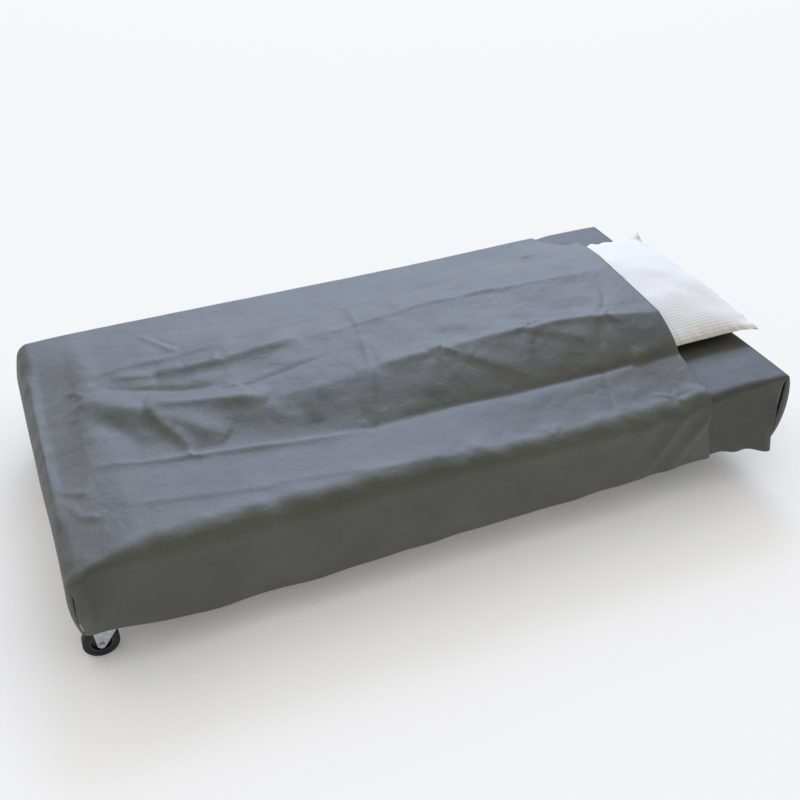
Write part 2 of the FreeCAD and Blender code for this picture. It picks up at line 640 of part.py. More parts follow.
def brake_pedal(name, x, y):
    """Foot pedal on the fork whose shoe comes down on the tyre."""
    pin_x, pin_z = "-Dims.brake_pin_x", "Dims.brake_pin_z"
    body = new_body(f"brake_pedal_{name}", f"{x} + {pin_x}", y, pin_z)
    lever = new_sketch(body, "XZ_Plane")
    polygon(lever, (("6", "-3"), ("4", "-5.5"), ("-8", "-5.5"), ("-13", "-11"), ("-17", "-11.5"),
                    ("-20", "-5"), ("-34", "0"), ("-34", "5"), ("-4", "6"), ("4", "5"), ("6", "3")))
    arm = pad(body, lever, "Dims.brake_width", both_ways=True)
    tread = new_sketch(body, "XZ_Plane")
    polygon(tread, (("-22", "1"), ("-58", "6"), ("-60", "8"), ("-58", "10"), ("-22", "6")))
    plate = pad(body, tread, "Dims.brake_tread_width", both_ways=True)
    DOC.recompute()
    if plate.Shape.Volume <= arm.Shape.Volume:
        raise RuntimeError(f"{body.Label}: the tread added nothing")
    bore = new_sketch(body, "XZ_Plane")
    circle(bore, "Dims.brake_pin_diameter + 2 * Dims.running_gap")
    pocket(body, bore, both_ways=True)


def brake_pin(name, x, y):
    """Pin through the fork that the brake pedal turns on."""
    half = "(Dims.fork_width / 2 + 1)"
    pin = crosswise(f"brake_pin_{name}", "Dims.brake_pin_diameter", f"2 * {half}",
                    f"{x} - Dims.brake_pin_x", f"{y} - {half}", "Dims.brake_pin_z")
    subpart(pin, f"brake_pin_{name}")


def casters():
    """All four casters; the pair nearer the head has brakes."""
    for name, (x, y) in CASTERS.items():
        for build in (caster_plate, fork, axle, sleeve, wheel_hub, tyre):
            build(name, x, y)
        if name in BRAKED:
            brake_pedal(name, x, y)
            brake_pin(name, x, y)
    kingpins()
    swivel_balls()


# ---------------------------------------------------------------- mattress and covers

def rounded_block(label, grow):
    """A mattress-shaped block with rounded upright corners, smaller all round by -grow."""
    body = new_body(label, "0", "0", f"{MATTRESS_BOTTOM} - ({grow})")
    outline = new_sketch(body, "XY_Plane")
    half_x, half_y = f"({MATTRESS_END} + ({grow}))", f"({MATTRESS_SIDE} + ({grow}))"
    polygon(outline, ((f"-{half_x}", f"-{half_y}"), (half_x, f"-{half_y}"),
                      (half_x, half_y), (f"-{half_x}", half_y)))
    slab = pad(body, outline, f"Dims.mattress_height + 2 * ({grow})")
    round_edges(body, slab, f"Dims.mattress_corner + ({grow})", is_vertical)
    return body


def mattress():
    """Foam core and the ticking that encloses it."""
    rounded_block("mattress_core", "-Dims.ticking_thickness - Dims.clearance")
    outer = rounded_block("ticking_outside", "0")
    inner = rounded_block("ticking_inside", "-Dims.ticking_thickness")
    for helper in (outer, inner):
        SUBPARTS.remove(helper)
    subpart(combine("Cut", "mattress_ticking", outer, inner), "mattress_ticking")


def hanging_panel(label, end, side, layer, low_end=None, high_end=None):
    """A panel of cloth that hangs from the edge of the bed to the hem.

    end or side is -1 or 1 for the edge that it hangs from, and layer is 1 for the cover that lies on the
    mattress or 2 for the blanket over it. low_end and high_end bound a side panel along the bed.
    """
    inner = f"({layer} * Dims.clearance + ({layer} - 1) * Dims.cloth)"
    top = f"({MATTRESS_TOP} + {layer} * {COVER_STEP})"
    height = f"{top} - Dims.hem_height"
    if end:
        edge = f"({MATTRESS_END} + {inner})"
        low_x = edge if end > 0 else f"-{edge} - Dims.cloth"
        half = f"({MATTRESS_SIDE} + ({layer} - 1) * {COVER_STEP})"
        panel = block(label, (low_x, f"-{half}", "Dims.hem_height"), ("Dims.cloth", f"2 * {half}", height))
    else:
        edge = f"({MATTRESS_SIDE} + {inner})"
        low_y = edge if side > 0 else f"-{edge} - Dims.cloth"
        panel = block(label, (low_end, low_y, "Dims.hem_height"),
                      (f"{high_end} - ({low_end})", "Dims.cloth", height))
    subpart(panel, label)


def base_cover():
    """Fitted cover on the mattress: a top and four panels with open slits at the corners."""
    low = (f"-{MATTRESS_END}", f"-{MATTRESS_SIDE}", f"{MATTRESS_TOP} + Dims.clearance")
    size = ("Dims.mattress_length", "Dims.mattress_width", "Dims.cloth")
    subpart(block("base_cover_top", low, size), "base_cover_top")
    hanging_panel("base_cover_foot_panel", -1, 0, 1)
    hanging_panel("base_cover_head_panel", 1, 0, 1)
    for label, side in (("base_cover_near_panel", -1), ("base_cover_far_panel", 1)):
        hanging_panel(label, 0, side, 1, f"-{MATTRESS_END}", MATTRESS_END)


def loft(outlines):
    """A solid with straight sides between closed outlines."""
    wires = [Part.makePolygon([Vector(*point) for point in outline + outline[:1]]) for outline in outlines]
    return Part.makeLoft(wires, True, True)


def flat_face(*points):
    """A flat face with these corners."""
    return Part.Face(Part.makePolygon([*points, points[0]]))


def faceted(outlines):
    """A solid with flat triangles between closed outlines across the bed that have matching corners.

    Each side is halved from its nearer corner at the foot to its farther corner at the head, so that two
    surfaces one above the other keep their distance everywhere.
    """
    rings = [[Vector(*point) for point in outline] for outline in outlines]
    faces = [flat_face(*rings[0]), flat_face(*rings[-1])]
    for ring, beyond in zip(rings, rings[1:]):
        sides = zip(ring, ring[1:] + ring[:1], beyond[1:] + beyond[:1], beyond)
        for corners in sides:
            start = 0 if corners[0].y < corners[1].y else 1
            a, b, c, d = corners[start:] + corners[:start]
            faces += [flat_face(a, b, c), flat_face(a, c, d)]
    solid = Part.makeSolid(Part.makeShell(faces))
    if solid.Volume < 0:
        solid.reverse()
    return solid


def shaped(label, shape):
    """A sub-part whose shape is made here from the sheet's sizes."""
    item = DOC.addObject("Part::Feature", label)
    item.Shape = shape
    place(item)
    return subpart(item, label)


def quilt():
    """Folded quilt under the blanket, a low ridge that rises towards the pillow."""
    low_z = value(BLANKET_LOW)
    clearance = value("Dims.clearance")
    near, far = value("Dims.quilt_near"), value("Dims.quilt_far")
    foot, head = value("Dims.quilt_foot_end"), value("Dims.quilt_head_end")
    outlines = []
    for x, crest in CREST_ALONG:
        if foot <= x <= head:
            top = [(x, y, low_z + crest * share - 3 * clearance) for y, share in RISE_ACROSS[1:-1]]
            outlines.append([(x, far, low_z), (x, near, low_z)] + top)
    shaped("quilt", faceted(outlines))


def blanket():
    """Blanket over the quilt and part of the pillow: a top and three hanging panels."""
    low_z, cloth = value(BLANKET_LOW), value("Dims.cloth")
    side, foot = value(MATTRESS_SIDE) + value(COVER_STEP), -value(MATTRESS_END) - value(COVER_STEP)
    outlines = []
    for x, crest in ((foot, 0),) + CREST_ALONG:
        under = [(-side, 0)] + [(y, crest * share) for y, share in RISE_ACROSS] + [(side, 0)]
        lower = [(x, y, low_z + rise) for y, rise in under]
        upper = [(x, y, low_z + rise + cloth) for y, rise in reversed(under)]
        outlines.append(lower + upper)
    shaped("blanket_top", faceted(outlines))
    hanging_panel("blanket_foot_panel", -1, 0, 2)
    low_end, high_end = f"-{MATTRESS_END} - {COVER_STEP}", "Dims.blanket_head_edge"
    for label, sign in (("blanket_near_panel", -1), ("blanket_far_panel", 1)):
        hanging_panel(label, 0, sign, 2, low_end, high_end)


def pillow_shape(inset):
    """A crowned pillow that bulges most at a third of its height, smaller all round by inset."""
    long_side, deep, tall = (value(f"Dims.pillow_{name}") for name in ("length", "depth", "height"))
    base_z = value(BLANKET_LOW)
    head = value(PILLOW_HEAD)
    middle = Vector(head - deep / 2, value("Dims.pillow_middle_y"), base_z)
    levels = ((inset, 60), (0.3 * tall, 0), (0.65 * tall, 30), (tall - inset, 130))
    outlines = []
    for rise, narrower in levels:
        half_x, half_y = deep / 2 - narrower - inset, long_side / 2 - narrower - inset
        corners = ((-half_x, -half_y), (half_x, -half_y), (half_x, half_y), (-half_x, half_y))
        outlines.append([tuple(middle + Vector(dx, dy, rise)) for dx, dy in corners])
    return loft(outlines)


def pillow():
    """Stuffed pillow and the case round it."""
    cloth, clearance = value("Dims.pillow_cloth"), value("Dims.clearance")
    shaped("pillow_insert", pillow_shape(cloth + clearance))
    shaped("pillowcase", pillow_shape(0).cut(pillow_shape(cloth)))


# ---------------------------------------------------------------- the whole bed

def check_document():
    """Stops if any object failed, or if a sub-part has no sound shape."""
    for item in DOC.Objects:
        if {"Invalid", "Error"} & set(item.State):
            raise RuntimeError(f"{item.Label}: {item.State}")
    labels = [item.Label for item in SUBPARTS]
    if len(set(labels)) != len(labels):
        raise RuntimeError("two sub-parts share a label")
    for item in SUBPARTS:
        if item.Shape.isNull() or not item.Shape.isValid() or not item.Shape.Solids:
            raise RuntimeError(f"{item.Label}: no sound solid")


def write_parts():
    """Writes each sub-part's shape to a file of its own."""
    os.makedirs("parts", exist_ok=True)
    for item in SUBPARTS:
        item.Shape.exportStep(os.path.join("parts", f"{item.Label}.step"))
        print(f"{item.Label}: {len(item.Shape.Solids)} solid(s), {item.Shape.Volume / 1000:.1f} cm3")
    print(f"{len(SUBPARTS)} sub-parts")


fill_sheet()
for build_group in (rails, frame_joints, rail_end_caps, slats, slat_caps, mounting_plates, caster_fasteners,
                    casters, mattress, base_cover, quilt, blanket, pillow):
    build_group()
DOC.recompute()
check_document()
write_parts()
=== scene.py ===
"""Looks of a low roll-under bed: cotton covers, quilt, pillow, sprung slats, steel frame and casters.

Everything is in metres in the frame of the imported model: +X to the head of the bed, +Y to its far side,
+Z up, with the floor at zero.
"""

import logging
import math
from dataclasses import dataclass, field
from enum import Enum
from typing import Any, Callable, Sequence

import bmesh
import bpy
import numpy as np
from mathutils import Matrix, Vector
from mathutils.bvhtree import BVHTree


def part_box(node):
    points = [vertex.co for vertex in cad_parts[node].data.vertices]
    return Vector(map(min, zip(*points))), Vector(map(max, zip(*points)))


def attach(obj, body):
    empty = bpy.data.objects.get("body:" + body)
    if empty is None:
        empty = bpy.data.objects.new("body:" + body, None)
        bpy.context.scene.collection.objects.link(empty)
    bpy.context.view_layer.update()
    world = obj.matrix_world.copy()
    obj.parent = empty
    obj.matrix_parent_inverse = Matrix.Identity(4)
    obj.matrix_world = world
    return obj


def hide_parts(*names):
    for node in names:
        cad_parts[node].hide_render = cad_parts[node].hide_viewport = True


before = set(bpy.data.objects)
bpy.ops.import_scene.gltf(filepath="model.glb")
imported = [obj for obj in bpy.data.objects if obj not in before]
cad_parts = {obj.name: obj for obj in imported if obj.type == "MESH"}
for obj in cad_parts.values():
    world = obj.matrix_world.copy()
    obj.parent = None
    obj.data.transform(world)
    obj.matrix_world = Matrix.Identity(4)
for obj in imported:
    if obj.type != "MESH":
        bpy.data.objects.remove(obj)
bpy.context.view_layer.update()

LOG = logging.getLogger("bed")
MM = 0.001
ROOT = "root"
Field = Callable[[np.ndarray, np.ndarray], np.ndarray]


# ------------------------------------------------------------------ shader help

def linear(code: str) -> tuple[float, float, float, float]:
    """Turns an sRGB hex colour into linear light.

    Args:
        code: six hex digits, such as "8890a0".

    Returns:
        Red, green, blue and alpha, as Blender's colour sockets take them.
    """
    channels = [int(code[place:place + 2], 16) / 255 for place in (0, 2, 4)]
    light = [c / 12.92 if c <= 0.04045 else ((c + 0.055) / 1.055) ** 2.4 for c in channels]
    return (*light, 1.0)


def add_node(tree: bpy.types.NodeTree, kind: str, sockets: dict[Any, Any] | None = None,
             **settings: Any) -> bpy.types.Node:
    """Adds a shader node with its settings, values and links.

    Args:
        tree: the node tree.
        kind: the node's type name.
        sockets: for each input, by name or number, a value or the output socket to link to it.
        settings: the node's own properties.

    Returns:
        The new node.
    """
    made = tree.nodes.new(kind)
    for name, setting in settings.items():
        setattr(made, name, setting)
    for name, source in (sockets or {}).items():
        if isinstance(source, bpy.types.NodeSocket):
            tree.links.new(source, made.inputs[name])
        else:
            made.inputs[name].default_value = source
    return made


def set_ramp(ramp: bpy.types.Node, stops: Sequence[tuple[float, str]]) -> None:
    """Gives a colour ramp its stops.

    Args:
        ramp: a colour ramp node.
        stops: place and hex colour of each stop, in order.
    """
    elements = ramp.color_ramp.elements
    while len(elements) < len(stops):
        elements.new(0.5)
    for element, (place, code) in zip(elements, stops):
        element.position = place
        element.color = linear(code)


@dataclass(frozen=True)
class Finish:
    """A surface finish; its material is made once and shared by every piece that has it."""

    name: str

    def material(self) -> bpy.types.Material:
        """Returns the finish's material, made on first use."""
        found = bpy.data.materials.get(self.name)
        if found:
            return found
        made = bpy.data.materials.new(self.name)
        made.use_nodes = True
        tree = made.node_tree
        tree.nodes.clear()
        output = add_node(tree, "ShaderNodeOutputMaterial")
        shader = self.shader(tree)
        tree.links.new(shader.outputs[0], output.inputs["Surface"])
        return made

    def shader(self, tree: bpy.types.NodeTree) -> bpy.types.Node:
        """Builds the finish's shader in a node tree and returns its last node."""
        raise NotImplementedError

    def dress(self, piece: bpy.types.Object) -> None:
        """Gives every material slot of a piece this finish."""
        piece.data.materials.clear()
        piece.data.materials.append(self.material())


@dataclass(frozen=True)
class PlainWeaveCotton(Finish):
    """Plain-weave dyed cotton, woven and piece-dyed, a little faded.

    It shows as a dull cloth with a cool tint, faint slubs along both threads and small creases.
    """

    deep: str = "4e4f49"
    usual: str = "565751"
    faded: str = "5e5f59"
    thread_mm: float = 1.6
    roughness: float = 0.62

    def shader(self, tree: bpy.types.NodeTree) -> bpy.types.Node:
        """Dyed cloth: slubs and fading in the colour, weave and small creases in the bump."""
        place = add_node(tree, "ShaderNodeTexCoord").outputs["UV"]
        patches = add_node(tree, "ShaderNodeTexNoise", {"Vector": place, "Scale": 5.0, "Detail": 5.0,
                                                        "Roughness": 0.55})
        colour = add_node(tree, "ShaderNodeValToRGB", {"Fac": patches.outputs["Fac"]})
        set_ramp(colour, ((0.25, self.deep), (0.5, self.usual), (0.78, self.faded)))
        slubs = [self.slub(tree, place, stretch) for stretch in ((9.0, 420.0, 1.0), (420.0, 9.0, 1.0))]
        thread = add_node(tree, "ShaderNodeMath", {0: slubs[0], 1: slubs[1]}, operation="ADD")
        streak = add_node(tree, "ShaderNodeMapRange", {"Value": thread.outputs[0], "From Min": 0.7,
                                                       "From Max": 1.3, "To Min": 0.94, "To Max": 1.06})
        cloth = add_node(tree, "ShaderNodeVectorMath", {0: colour.outputs["Color"],
                                                        "Scale": streak.outputs[0]}, operation="SCALE")
        # The real threads are about 0.3 mm apart, too fine to show, so they are drawn coarser.
        turns = 2 * math.pi / (self.thread_mm * MM)
        weave = self.weave(tree, place, turns)
        crumple = add_node(tree, "ShaderNodeTexNoise", {"Vector": place, "Scale": 26.0, "Detail": 6.0,
                                                        "Roughness": 0.62, "Distortion": 0.6})
        fine = add_node(tree, "ShaderNodeBump", {"Strength": 0.25, "Distance": 0.0004, "Height": weave})
        soft = add_node(tree, "ShaderNodeBump", {"Strength": 0.6, "Distance": 0.0050,
                                                 "Height": crumple.outputs["Fac"],
                                                 "Normal": fine.outputs["Normal"]})
        threads = add_node(tree, "ShaderNodeBump", {"Strength": 0.22, "Distance": 0.0008,
                                                    "Height": thread.outputs[0],
                                                    "Normal": soft.outputs["Normal"]})
        return add_node(tree, "ShaderNodeBsdfPrincipled", {
            "Base Color": cloth.outputs[0], "Roughness": self.roughness, "Sheen Weight": 0.10,
            "Sheen Roughness": 0.45, "Sheen Tint": linear("b9c6e6"), "Specular IOR Level": 0.55,
            "Normal": threads.outputs["Normal"]})

    def slub(self, tree: bpy.types.NodeTree, place: bpy.types.NodeSocket,
             stretch: tuple[float, float, float]) -> bpy.types.NodeSocket:
        """Uneven threads along one direction, as a stretched noise."""
        scaled = add_node(tree, "ShaderNodeMapping", {"Vector": place, "Scale": stretch})
        noise = add_node(tree, "ShaderNodeTexNoise", {"Vector": scaled.outputs[0], "Scale": 1.0,
                                                      "Detail": 2.0, "Roughness": 0.5})
        return noise.outputs["Fac"]

    def weave(self, tree: bpy.types.NodeTree, place: bpy.types.NodeSocket,
              turns: float) -> bpy.types.NodeSocket:
        """Over-and-under of a plain weave, as the product of two sines."""
        parts = add_node(tree, "ShaderNodeSeparateXYZ", {"Vector": place})
        waves = []
        for axis in ("X", "Y"):
            phase = add_node(tree, "ShaderNodeMath", {0: parts.outputs[axis], 1: turns}, operation="MULTIPLY")
            waves.append(add_node(tree, "ShaderNodeMath", {0: phase.outputs[0]}, operation="SINE").outputs[0])
        return add_node(tree, "ShaderNodeMath", {0: waves[0], 1: waves[1]}, operation="MULTIPLY").outputs[0]


@dataclass(frozen=True)
class CheckedCotton(Finish):
    """Yarn-dyed cotton: natural white with a fine beige check, woven into the cloth."""

    ground: str = "dddcd6"
    line: str = "aa9b78"
    check_mm: float = 9.5
    line_share: float = 0.22

    def shader(self, tree: bpy.types.NodeTree) -> bpy.types.Node:
        """White cloth with two sets of thin beige stripes that darken where they cross."""
        place = add_node(tree, "ShaderNodeTexCoord").outputs["UV"]
        parts = add_node(tree, "ShaderNodeSeparateXYZ", {"Vector": place})
        stripes = []
        for axis in ("X", "Y"):
            count = add_node(tree, "ShaderNodeMath", {0: parts.outputs[axis], 1: 1 / (self.check_mm * MM)},
                             operation="MULTIPLY")
            share = add_node(tree, "ShaderNodeMath", {0: count.outputs[0]}, operation="FRACT")
            inside = add_node(tree, "ShaderNodeMath", {0: share.outputs[0], 1: self.line_share},
                              operation="LESS_THAN")
            stripes.append(inside.outputs[0])
        both = add_node(tree, "ShaderNodeMath", {0: stripes[0], 1: stripes[1]}, operation="ADD")
        amount = add_node(tree, "ShaderNodeMath", {0: both.outputs[0], 1: 0.38}, operation="MULTIPLY")
        cloth = add_node(tree, "ShaderNodeMix", {0: amount.outputs[0], 6: linear(self.ground),
                                                 7: linear(self.line)}, data_type="RGBA")
        crumple = add_node(tree, "ShaderNodeTexNoise", {"Vector": place, "Scale": 38.0, "Detail": 5.0})
        threads = add_node(tree, "ShaderNodeTexNoise", {"Vector": place, "Scale": 900.0, "Detail": 1.0})
        fine = add_node(tree, "ShaderNodeBump", {"Strength": 0.2, "Distance": 0.0003,
                                                 "Height": threads.outputs["Fac"]})
        soft = add_node(tree, "ShaderNodeBump", {"Strength": 0.4, "Distance": 0.002,
                                                 "Height": crumple.outputs["Fac"],
                                                 "Normal": fine.outputs["Normal"]})
        return add_node(tree, "ShaderNodeBsdfPrincipled", {
            "Base Color": cloth.outputs[2], "Roughness": 0.85, "Sheen Weight": 0.15,
            "Specular IOR Level": 0.25, "Normal": soft.outputs["Normal"]})


@dataclass(frozen=True)
class StripedTicking(Finish):
    """Close-woven mattress ticking, cream with narrow grey stripes and stitched quilting."""

    ground: str = "dedad0"
    stripe: str = "8f97a3"
    stripe_mm: float = 22.0

    def shader(self, tree: bpy.types.NodeTree) -> bpy.types.Node:
        """Cream cloth with soft-edged stripes and a thread bump."""
        place = add_node(tree, "ShaderNodeTexCoord").outputs["Object"]
        parts = add_node(tree, "ShaderNodeSeparateXYZ", {"Vector": place})
        turns = 2 * math.pi / (self.stripe_mm * MM)
        phase = add_node(tree, "ShaderNodeMath", {0: parts.outputs["Y"], 1: turns}, operation="MULTIPLY")
        wave = add_node(tree, "ShaderNodeMath", {0: phase.outputs[0]}, operation="SINE")
        colour = add_node(tree, "ShaderNodeValToRGB", {"Fac": wave.outputs[0]})
        set_ramp(colour, ((0.0, self.ground), (0.82, self.ground), (0.9, self.stripe)))
        threads = add_node(tree, "ShaderNodeTexNoise", {"Vector": place, "Scale": 700.0, "Detail": 2.0})
        bump = add_node(tree, "ShaderNodeBump", {"Strength": 0.3, "Distance": 0.0005,
                                                 "Height": threads.outputs["Fac"]})
        return add_node(tree, "ShaderNodeBsdfPrincipled", {
            "Base Color": colour.outputs["Color"], "Roughness": 0.9, "Sheen Weight": 0.1,
            "Normal": bump.outputs["Normal"]})


@dataclass(frozen=True)
class ZincPlate(Finish):
    """Pressed or turned mild steel, bright zinc plated: cool, slightly cloudy metal with fine scratches."""

    bright: str = "c9ccd0"
    cloudy: str = "a9adb3"

    def shader(self, tree: bpy.types.NodeTree) -> bpy.types.Node:
        """Metal whose colour and gloss vary in small clouds."""
        place = add_node(tree, "ShaderNodeTexCoord").outputs["Object"]
        clouds = add_node(tree, "ShaderNodeTexNoise", {"Vector": place, "Scale": 90.0, "Detail": 4.0})
        colour = add_node(tree, "ShaderNodeValToRGB", {"Fac": clouds.outputs["Fac"]})
        set_ramp(colour, ((0.3, self.cloudy), (0.7, self.bright)))
        gloss = add_node(tree, "ShaderNodeMapRange", {"Value": clouds.outputs["Fac"], "To Min": 0.24,
                                                      "To Max": 0.42})
        long_way = add_node(tree, "ShaderNodeMapping", {"Vector": place, "Scale": (120.0, 120.0, 2500.0)})
        scratch = add_node(tree, "ShaderNodeTexNoise", {"Vector": long_way.outputs[0], "Scale": 1.0})
        bump = add_node(tree, "ShaderNodeBump", {"Strength": 0.12, "Distance": 0.0002,
                                                 "Height": scratch.outputs["Fac"]})
        return add_node(tree, "ShaderNodeBsdfPrincipled", {
            "Base Color": colour.outputs["Color"], "Metallic": 1.0, "Roughness": gloss.outputs[0],
            "Normal": bump.outputs["Normal"]})


@dataclass(frozen=True)
class PowderCoat(Finish):
    """Steel tube with a baked powder coat: dark satin with the soft dimples of orange peel."""

    coat: str = "3a3c40"
    dusty: str = "4c4e52"
    peel_mm: float = 1.6

    def shader(self, tree: bpy.types.NodeTree) -> bpy.types.Node:
        """Dark coat, a little dusty in patches, with orange peel in the bump."""
        place = add_node(tree, "ShaderNodeTexCoord").outputs["Object"]
        dust = add_node(tree, "ShaderNodeTexNoise", {"Vector": place, "Scale": 14.0, "Detail": 5.0})
        colour = add_node(tree, "ShaderNodeValToRGB", {"Fac": dust.outputs["Fac"]})
        set_ramp(colour, ((0.4, self.coat), (0.8, self.dusty)))
        peel = add_node(tree, "ShaderNodeTexNoise", {"Vector": place, "Scale": 1 / (self.peel_mm * MM),
                                                     "Detail": 1.0})
        bump = add_node(tree, "ShaderNodeBump", {"Strength": 0.2, "Distance": 0.0002,
                                                 "Height": peel.outputs["Fac"]})
        return add_node(tree, "ShaderNodeBsdfPrincipled", {
            "Base Color": colour.outputs["Color"], "Roughness": 0.42, "Coat Weight": 0.15,
            "Normal": bump.outputs["Normal"]})


@dataclass(frozen=True)
class SolidRubber(Finish):
    """Moulded solid rubber: near-black, dull, with floor dust worked into it."""

    black: str = "121213"
    dusty: str = "2a2a2b"

    def shader(self, tree: bpy.types.NodeTree) -> bpy.types.Node:
        """Dull black with patches of dust and a fine grain."""
        place = add_node(tree, "ShaderNodeTexCoord").outputs["Object"]
        dust = add_node(tree, "ShaderNodeTexNoise", {"Vector": place, "Scale": 60.0, "Detail": 6.0,
                                                     "Roughness": 0.7})
        colour = add_node(tree, "ShaderNodeValToRGB", {"Fac": dust.outputs["Fac"]})
        set_ramp(colour, ((0.45, self.black), (0.8, self.dusty)))
        grain = add_node(tree, "ShaderNodeTexNoise", {"Vector": place, "Scale": 1400.0, "Detail": 2.0})
        bump = add_node(tree, "ShaderNodeBump", {"Strength": 0.25, "Distance": 0.0002,
                                                 "Height": grain.outputs["Fac"]})
        gloss = add_node(tree, "ShaderNodeMapRange", {"Value": dust.outputs["Fac"], "To Min": 0.45,
                                                      "To Max": 0.75})
        return add_node(tree, "ShaderNodeBsdfPrincipled", {
            "Base Color": colour.outputs["Color"], "Roughness": gloss.outputs[0],
            "Normal": bump.outputs["Normal"]})


@dataclass(frozen=True)
class MouldedNylon(Finish):
    """Injection-moulded nylon: satin plastic with a spark-eroded grain."""

    shade: str = "1c1c1e"
    worn: str = "2b2b2e"
    grain_mm: float = 0.7

    def shader(self, tree: bpy.types.NodeTree) -> bpy.types.Node:
        """Satin plastic, slightly paler where it is handled."""
        place = add_node(tree, "ShaderNodeTexCoord").outputs["Object"]
        wear = add_node(tree, "ShaderNodeTexNoise", {"Vector": place, "Scale": 45.0, "Detail": 4.0})
        colour = add_node(tree, "ShaderNodeValToRGB", {"Fac": wear.outputs["Fac"]})
        set_ramp(colour, ((0.4, self.shade), (0.75, self.worn)))
        grain = add_node(tree, "ShaderNodeTexVoronoi", {"Vector": place, "Scale": 1 / (self.grain_mm * MM)})
        bump = add_node(tree, "ShaderNodeBump", {"Strength": 0.15, "Distance": 0.0001,
                                                 "Height": grain.outputs["Distance"]})
        return add_node(tree, "ShaderNodeBsdfPrincipled", {
            "Base Color": colour.outputs["Color"], "Roughness": 0.4, "IOR": 1.53,
            "Normal": bump.outputs["Normal"]})


@dataclass(frozen=True)
class BirchPly(Finish):
    """Bent birch plywood under clear lacquer: pale honey wood with fine grain along the slat."""

    early: str = "dcc198"
    late: str = "b9925f"

    def shader(self, tree: bpy.types.NodeTree) -> bpy.types.Node:
        """Grain lines stretched along the slat, under a thin lacquer."""
        place = add_node(tree, "ShaderNodeTexCoord").outputs["Object"]
        along = add_node(tree, "ShaderNodeMapping", {"Vector": place, "Scale": (170.0, 5.0, 60.0)})
        grain = add_node(tree, "ShaderNodeTexNoise", {"Vector": along.outputs[0], "Scale": 1.0, "Detail": 6.0,
                                                      "Roughness": 0.6, "Distortion": 1.2})
        colour = add_node(tree, "ShaderNodeValToRGB", {"Fac": grain.outputs["Fac"]})
        set_ramp(colour, ((0.3, self.late), (0.6, self.early)))
        bump = add_node(tree, "ShaderNodeBump", {"Strength": 0.15, "Distance": 0.0003,
                                                 "Height": grain.outputs["Fac"]})
        return add_node(tree, "ShaderNodeBsdfPrincipled", {
            "Base Color": colour.outputs["Color"], "Roughness": 0.45, "Coat Weight": 0.25,
            "Normal": bump.outputs["Normal"]})


@dataclass(frozen=True)
class PaleFloor(Finish):
    """Matt painted studio floor, off-white, with a painted light of its own: an emission that is darkened as
    painted shade under the bed.
    """

    tone: str = "6c6a66"
    painted_glow: str = "f7f7f8"
    painted_glow_strength: float = 0.78
    shade_reach: float = 0.36

    def shader(self, tree: bpy.types.NodeTree) -> bpy.types.Node:
        """Matt paint with a faint painted light, an emission that dims as painted shade where something
        stands close above it.
        """
        # painted shade: ambient occlusion dims the floor's emission under and beside the bed, a painted
        # contact shadow
        shade = add_node(tree, "ShaderNodeAmbientOcclusion", {"Distance": self.shade_reach}, samples=8)
        painted_glow = add_node(tree, "ShaderNodeMath", {0: shade.outputs["AO"], 1: self.painted_glow_strength},
                        operation="MULTIPLY")
        return add_node(tree, "ShaderNodeBsdfPrincipled", {
            "Base Color": linear(self.tone), "Roughness": 0.9, "Specular IOR Level": 0.1,
            "Emission Color": linear(self.painted_glow), "Emission Strength": painted_glow.outputs[0]})


BLANKET_COTTON = PlainWeaveCotton("blue_grey_plain_weave_cotton")
COVER_COTTON = PlainWeaveCotton("grey_plain_weave_cotton", deep="43443e", usual="494a44", faded="51524c")
PILLOW_COTTON = CheckedCotton("white_cotton_with_beige_check")
TICKING = StripedTicking("striped_ticking")
QUILT_COTTON = PlainWeaveCotton("white_quilt_cotton", deep="c9c9c4", usual="d8d8d3", faded="e4e4df")
ZINC = ZincPlate("bright_zinc_plate")
FRAME_COAT = PowderCoat("graphite_powder_coat")
RUBBER = SolidRubber("solid_black_rubber")
HUB_NYLON = MouldedNylon("black_nylon")
CAP_NYLON = MouldedNylon("grey_nylon", shade="3c3d40", worn="4a4b4e")
SLAT_WOOD = BirchPly("lacquered_birch_ply")


# ------------------------------------------------------------------ mesh help

def smooth_step(value: np.ndarray, low: float, high: float) -> np.ndarray:
    """Smooth rise from 0 at low to 1 at high; low may be the larger of the two."""
    share = np.clip((value - low) / (high - low), 0.0, 1.0)
    return share * share * (3.0 - 2.0 * share)


def track(points: Sequence[tuple[float, float]], x: np.ndarray, reach: float = 0.12) -> np.ndarray:
    """Smooth curve through a few points, flat beyond its ends.

    Args:
        points: pairs of place along the bed and value, in order.
        x: places to read.
        reach: how far corners are rounded, as a share of the whole span.

    Returns:
        The value at each place, with rounded corners between the points.
    """
    spots = np.array([point[0] for point in points])
    values = np.array([point[1] for point in points])
    span = reach * (spots[-1] - spots[0])
    offsets = np.linspace(-span, span, 9)
    weights = 1.0 - np.abs(offsets) / (1.25 * span)
    total = sum(w * np.interp(x + d, spots, values) for w, d in zip(weights, offsets))
    return total / weights.sum()


def waves(x: np.ndarray, y: np.ndarray, seed: int, shortest: float, longest: float,
          count: int = 26, lean: float = 0.0, spread: float = math.pi) -> np.ndarray:
    """Gentle irregular undulation of about unit height, the same every run.

    Args:
        x: places along one direction, in metres.
        y: places along the other.
        seed: number that picks the pattern.
        shortest: shortest wavelength, in metres.
        longest: longest wavelength.
        count: how many plane waves are added.
        lean: middle direction in which the waves travel, in radians from x.
        spread: how far directions vary about lean.

    Returns:
        The undulation at each place.
    """
    pick = np.random.default_rng(seed)
    total = np.zeros_like(x)
    for _ in range(count):
        length = shortest * (longest / shortest) ** pick.random()
        angle = lean + (pick.random() - 0.5) * spread
        phase = pick.random() * 2 * math.pi
        travel = (x * math.cos(angle) + y * math.sin(angle)) * 2 * math.pi / length
        total += (length / longest) * np.sin(travel + phase)
    return total / math.sqrt(count)


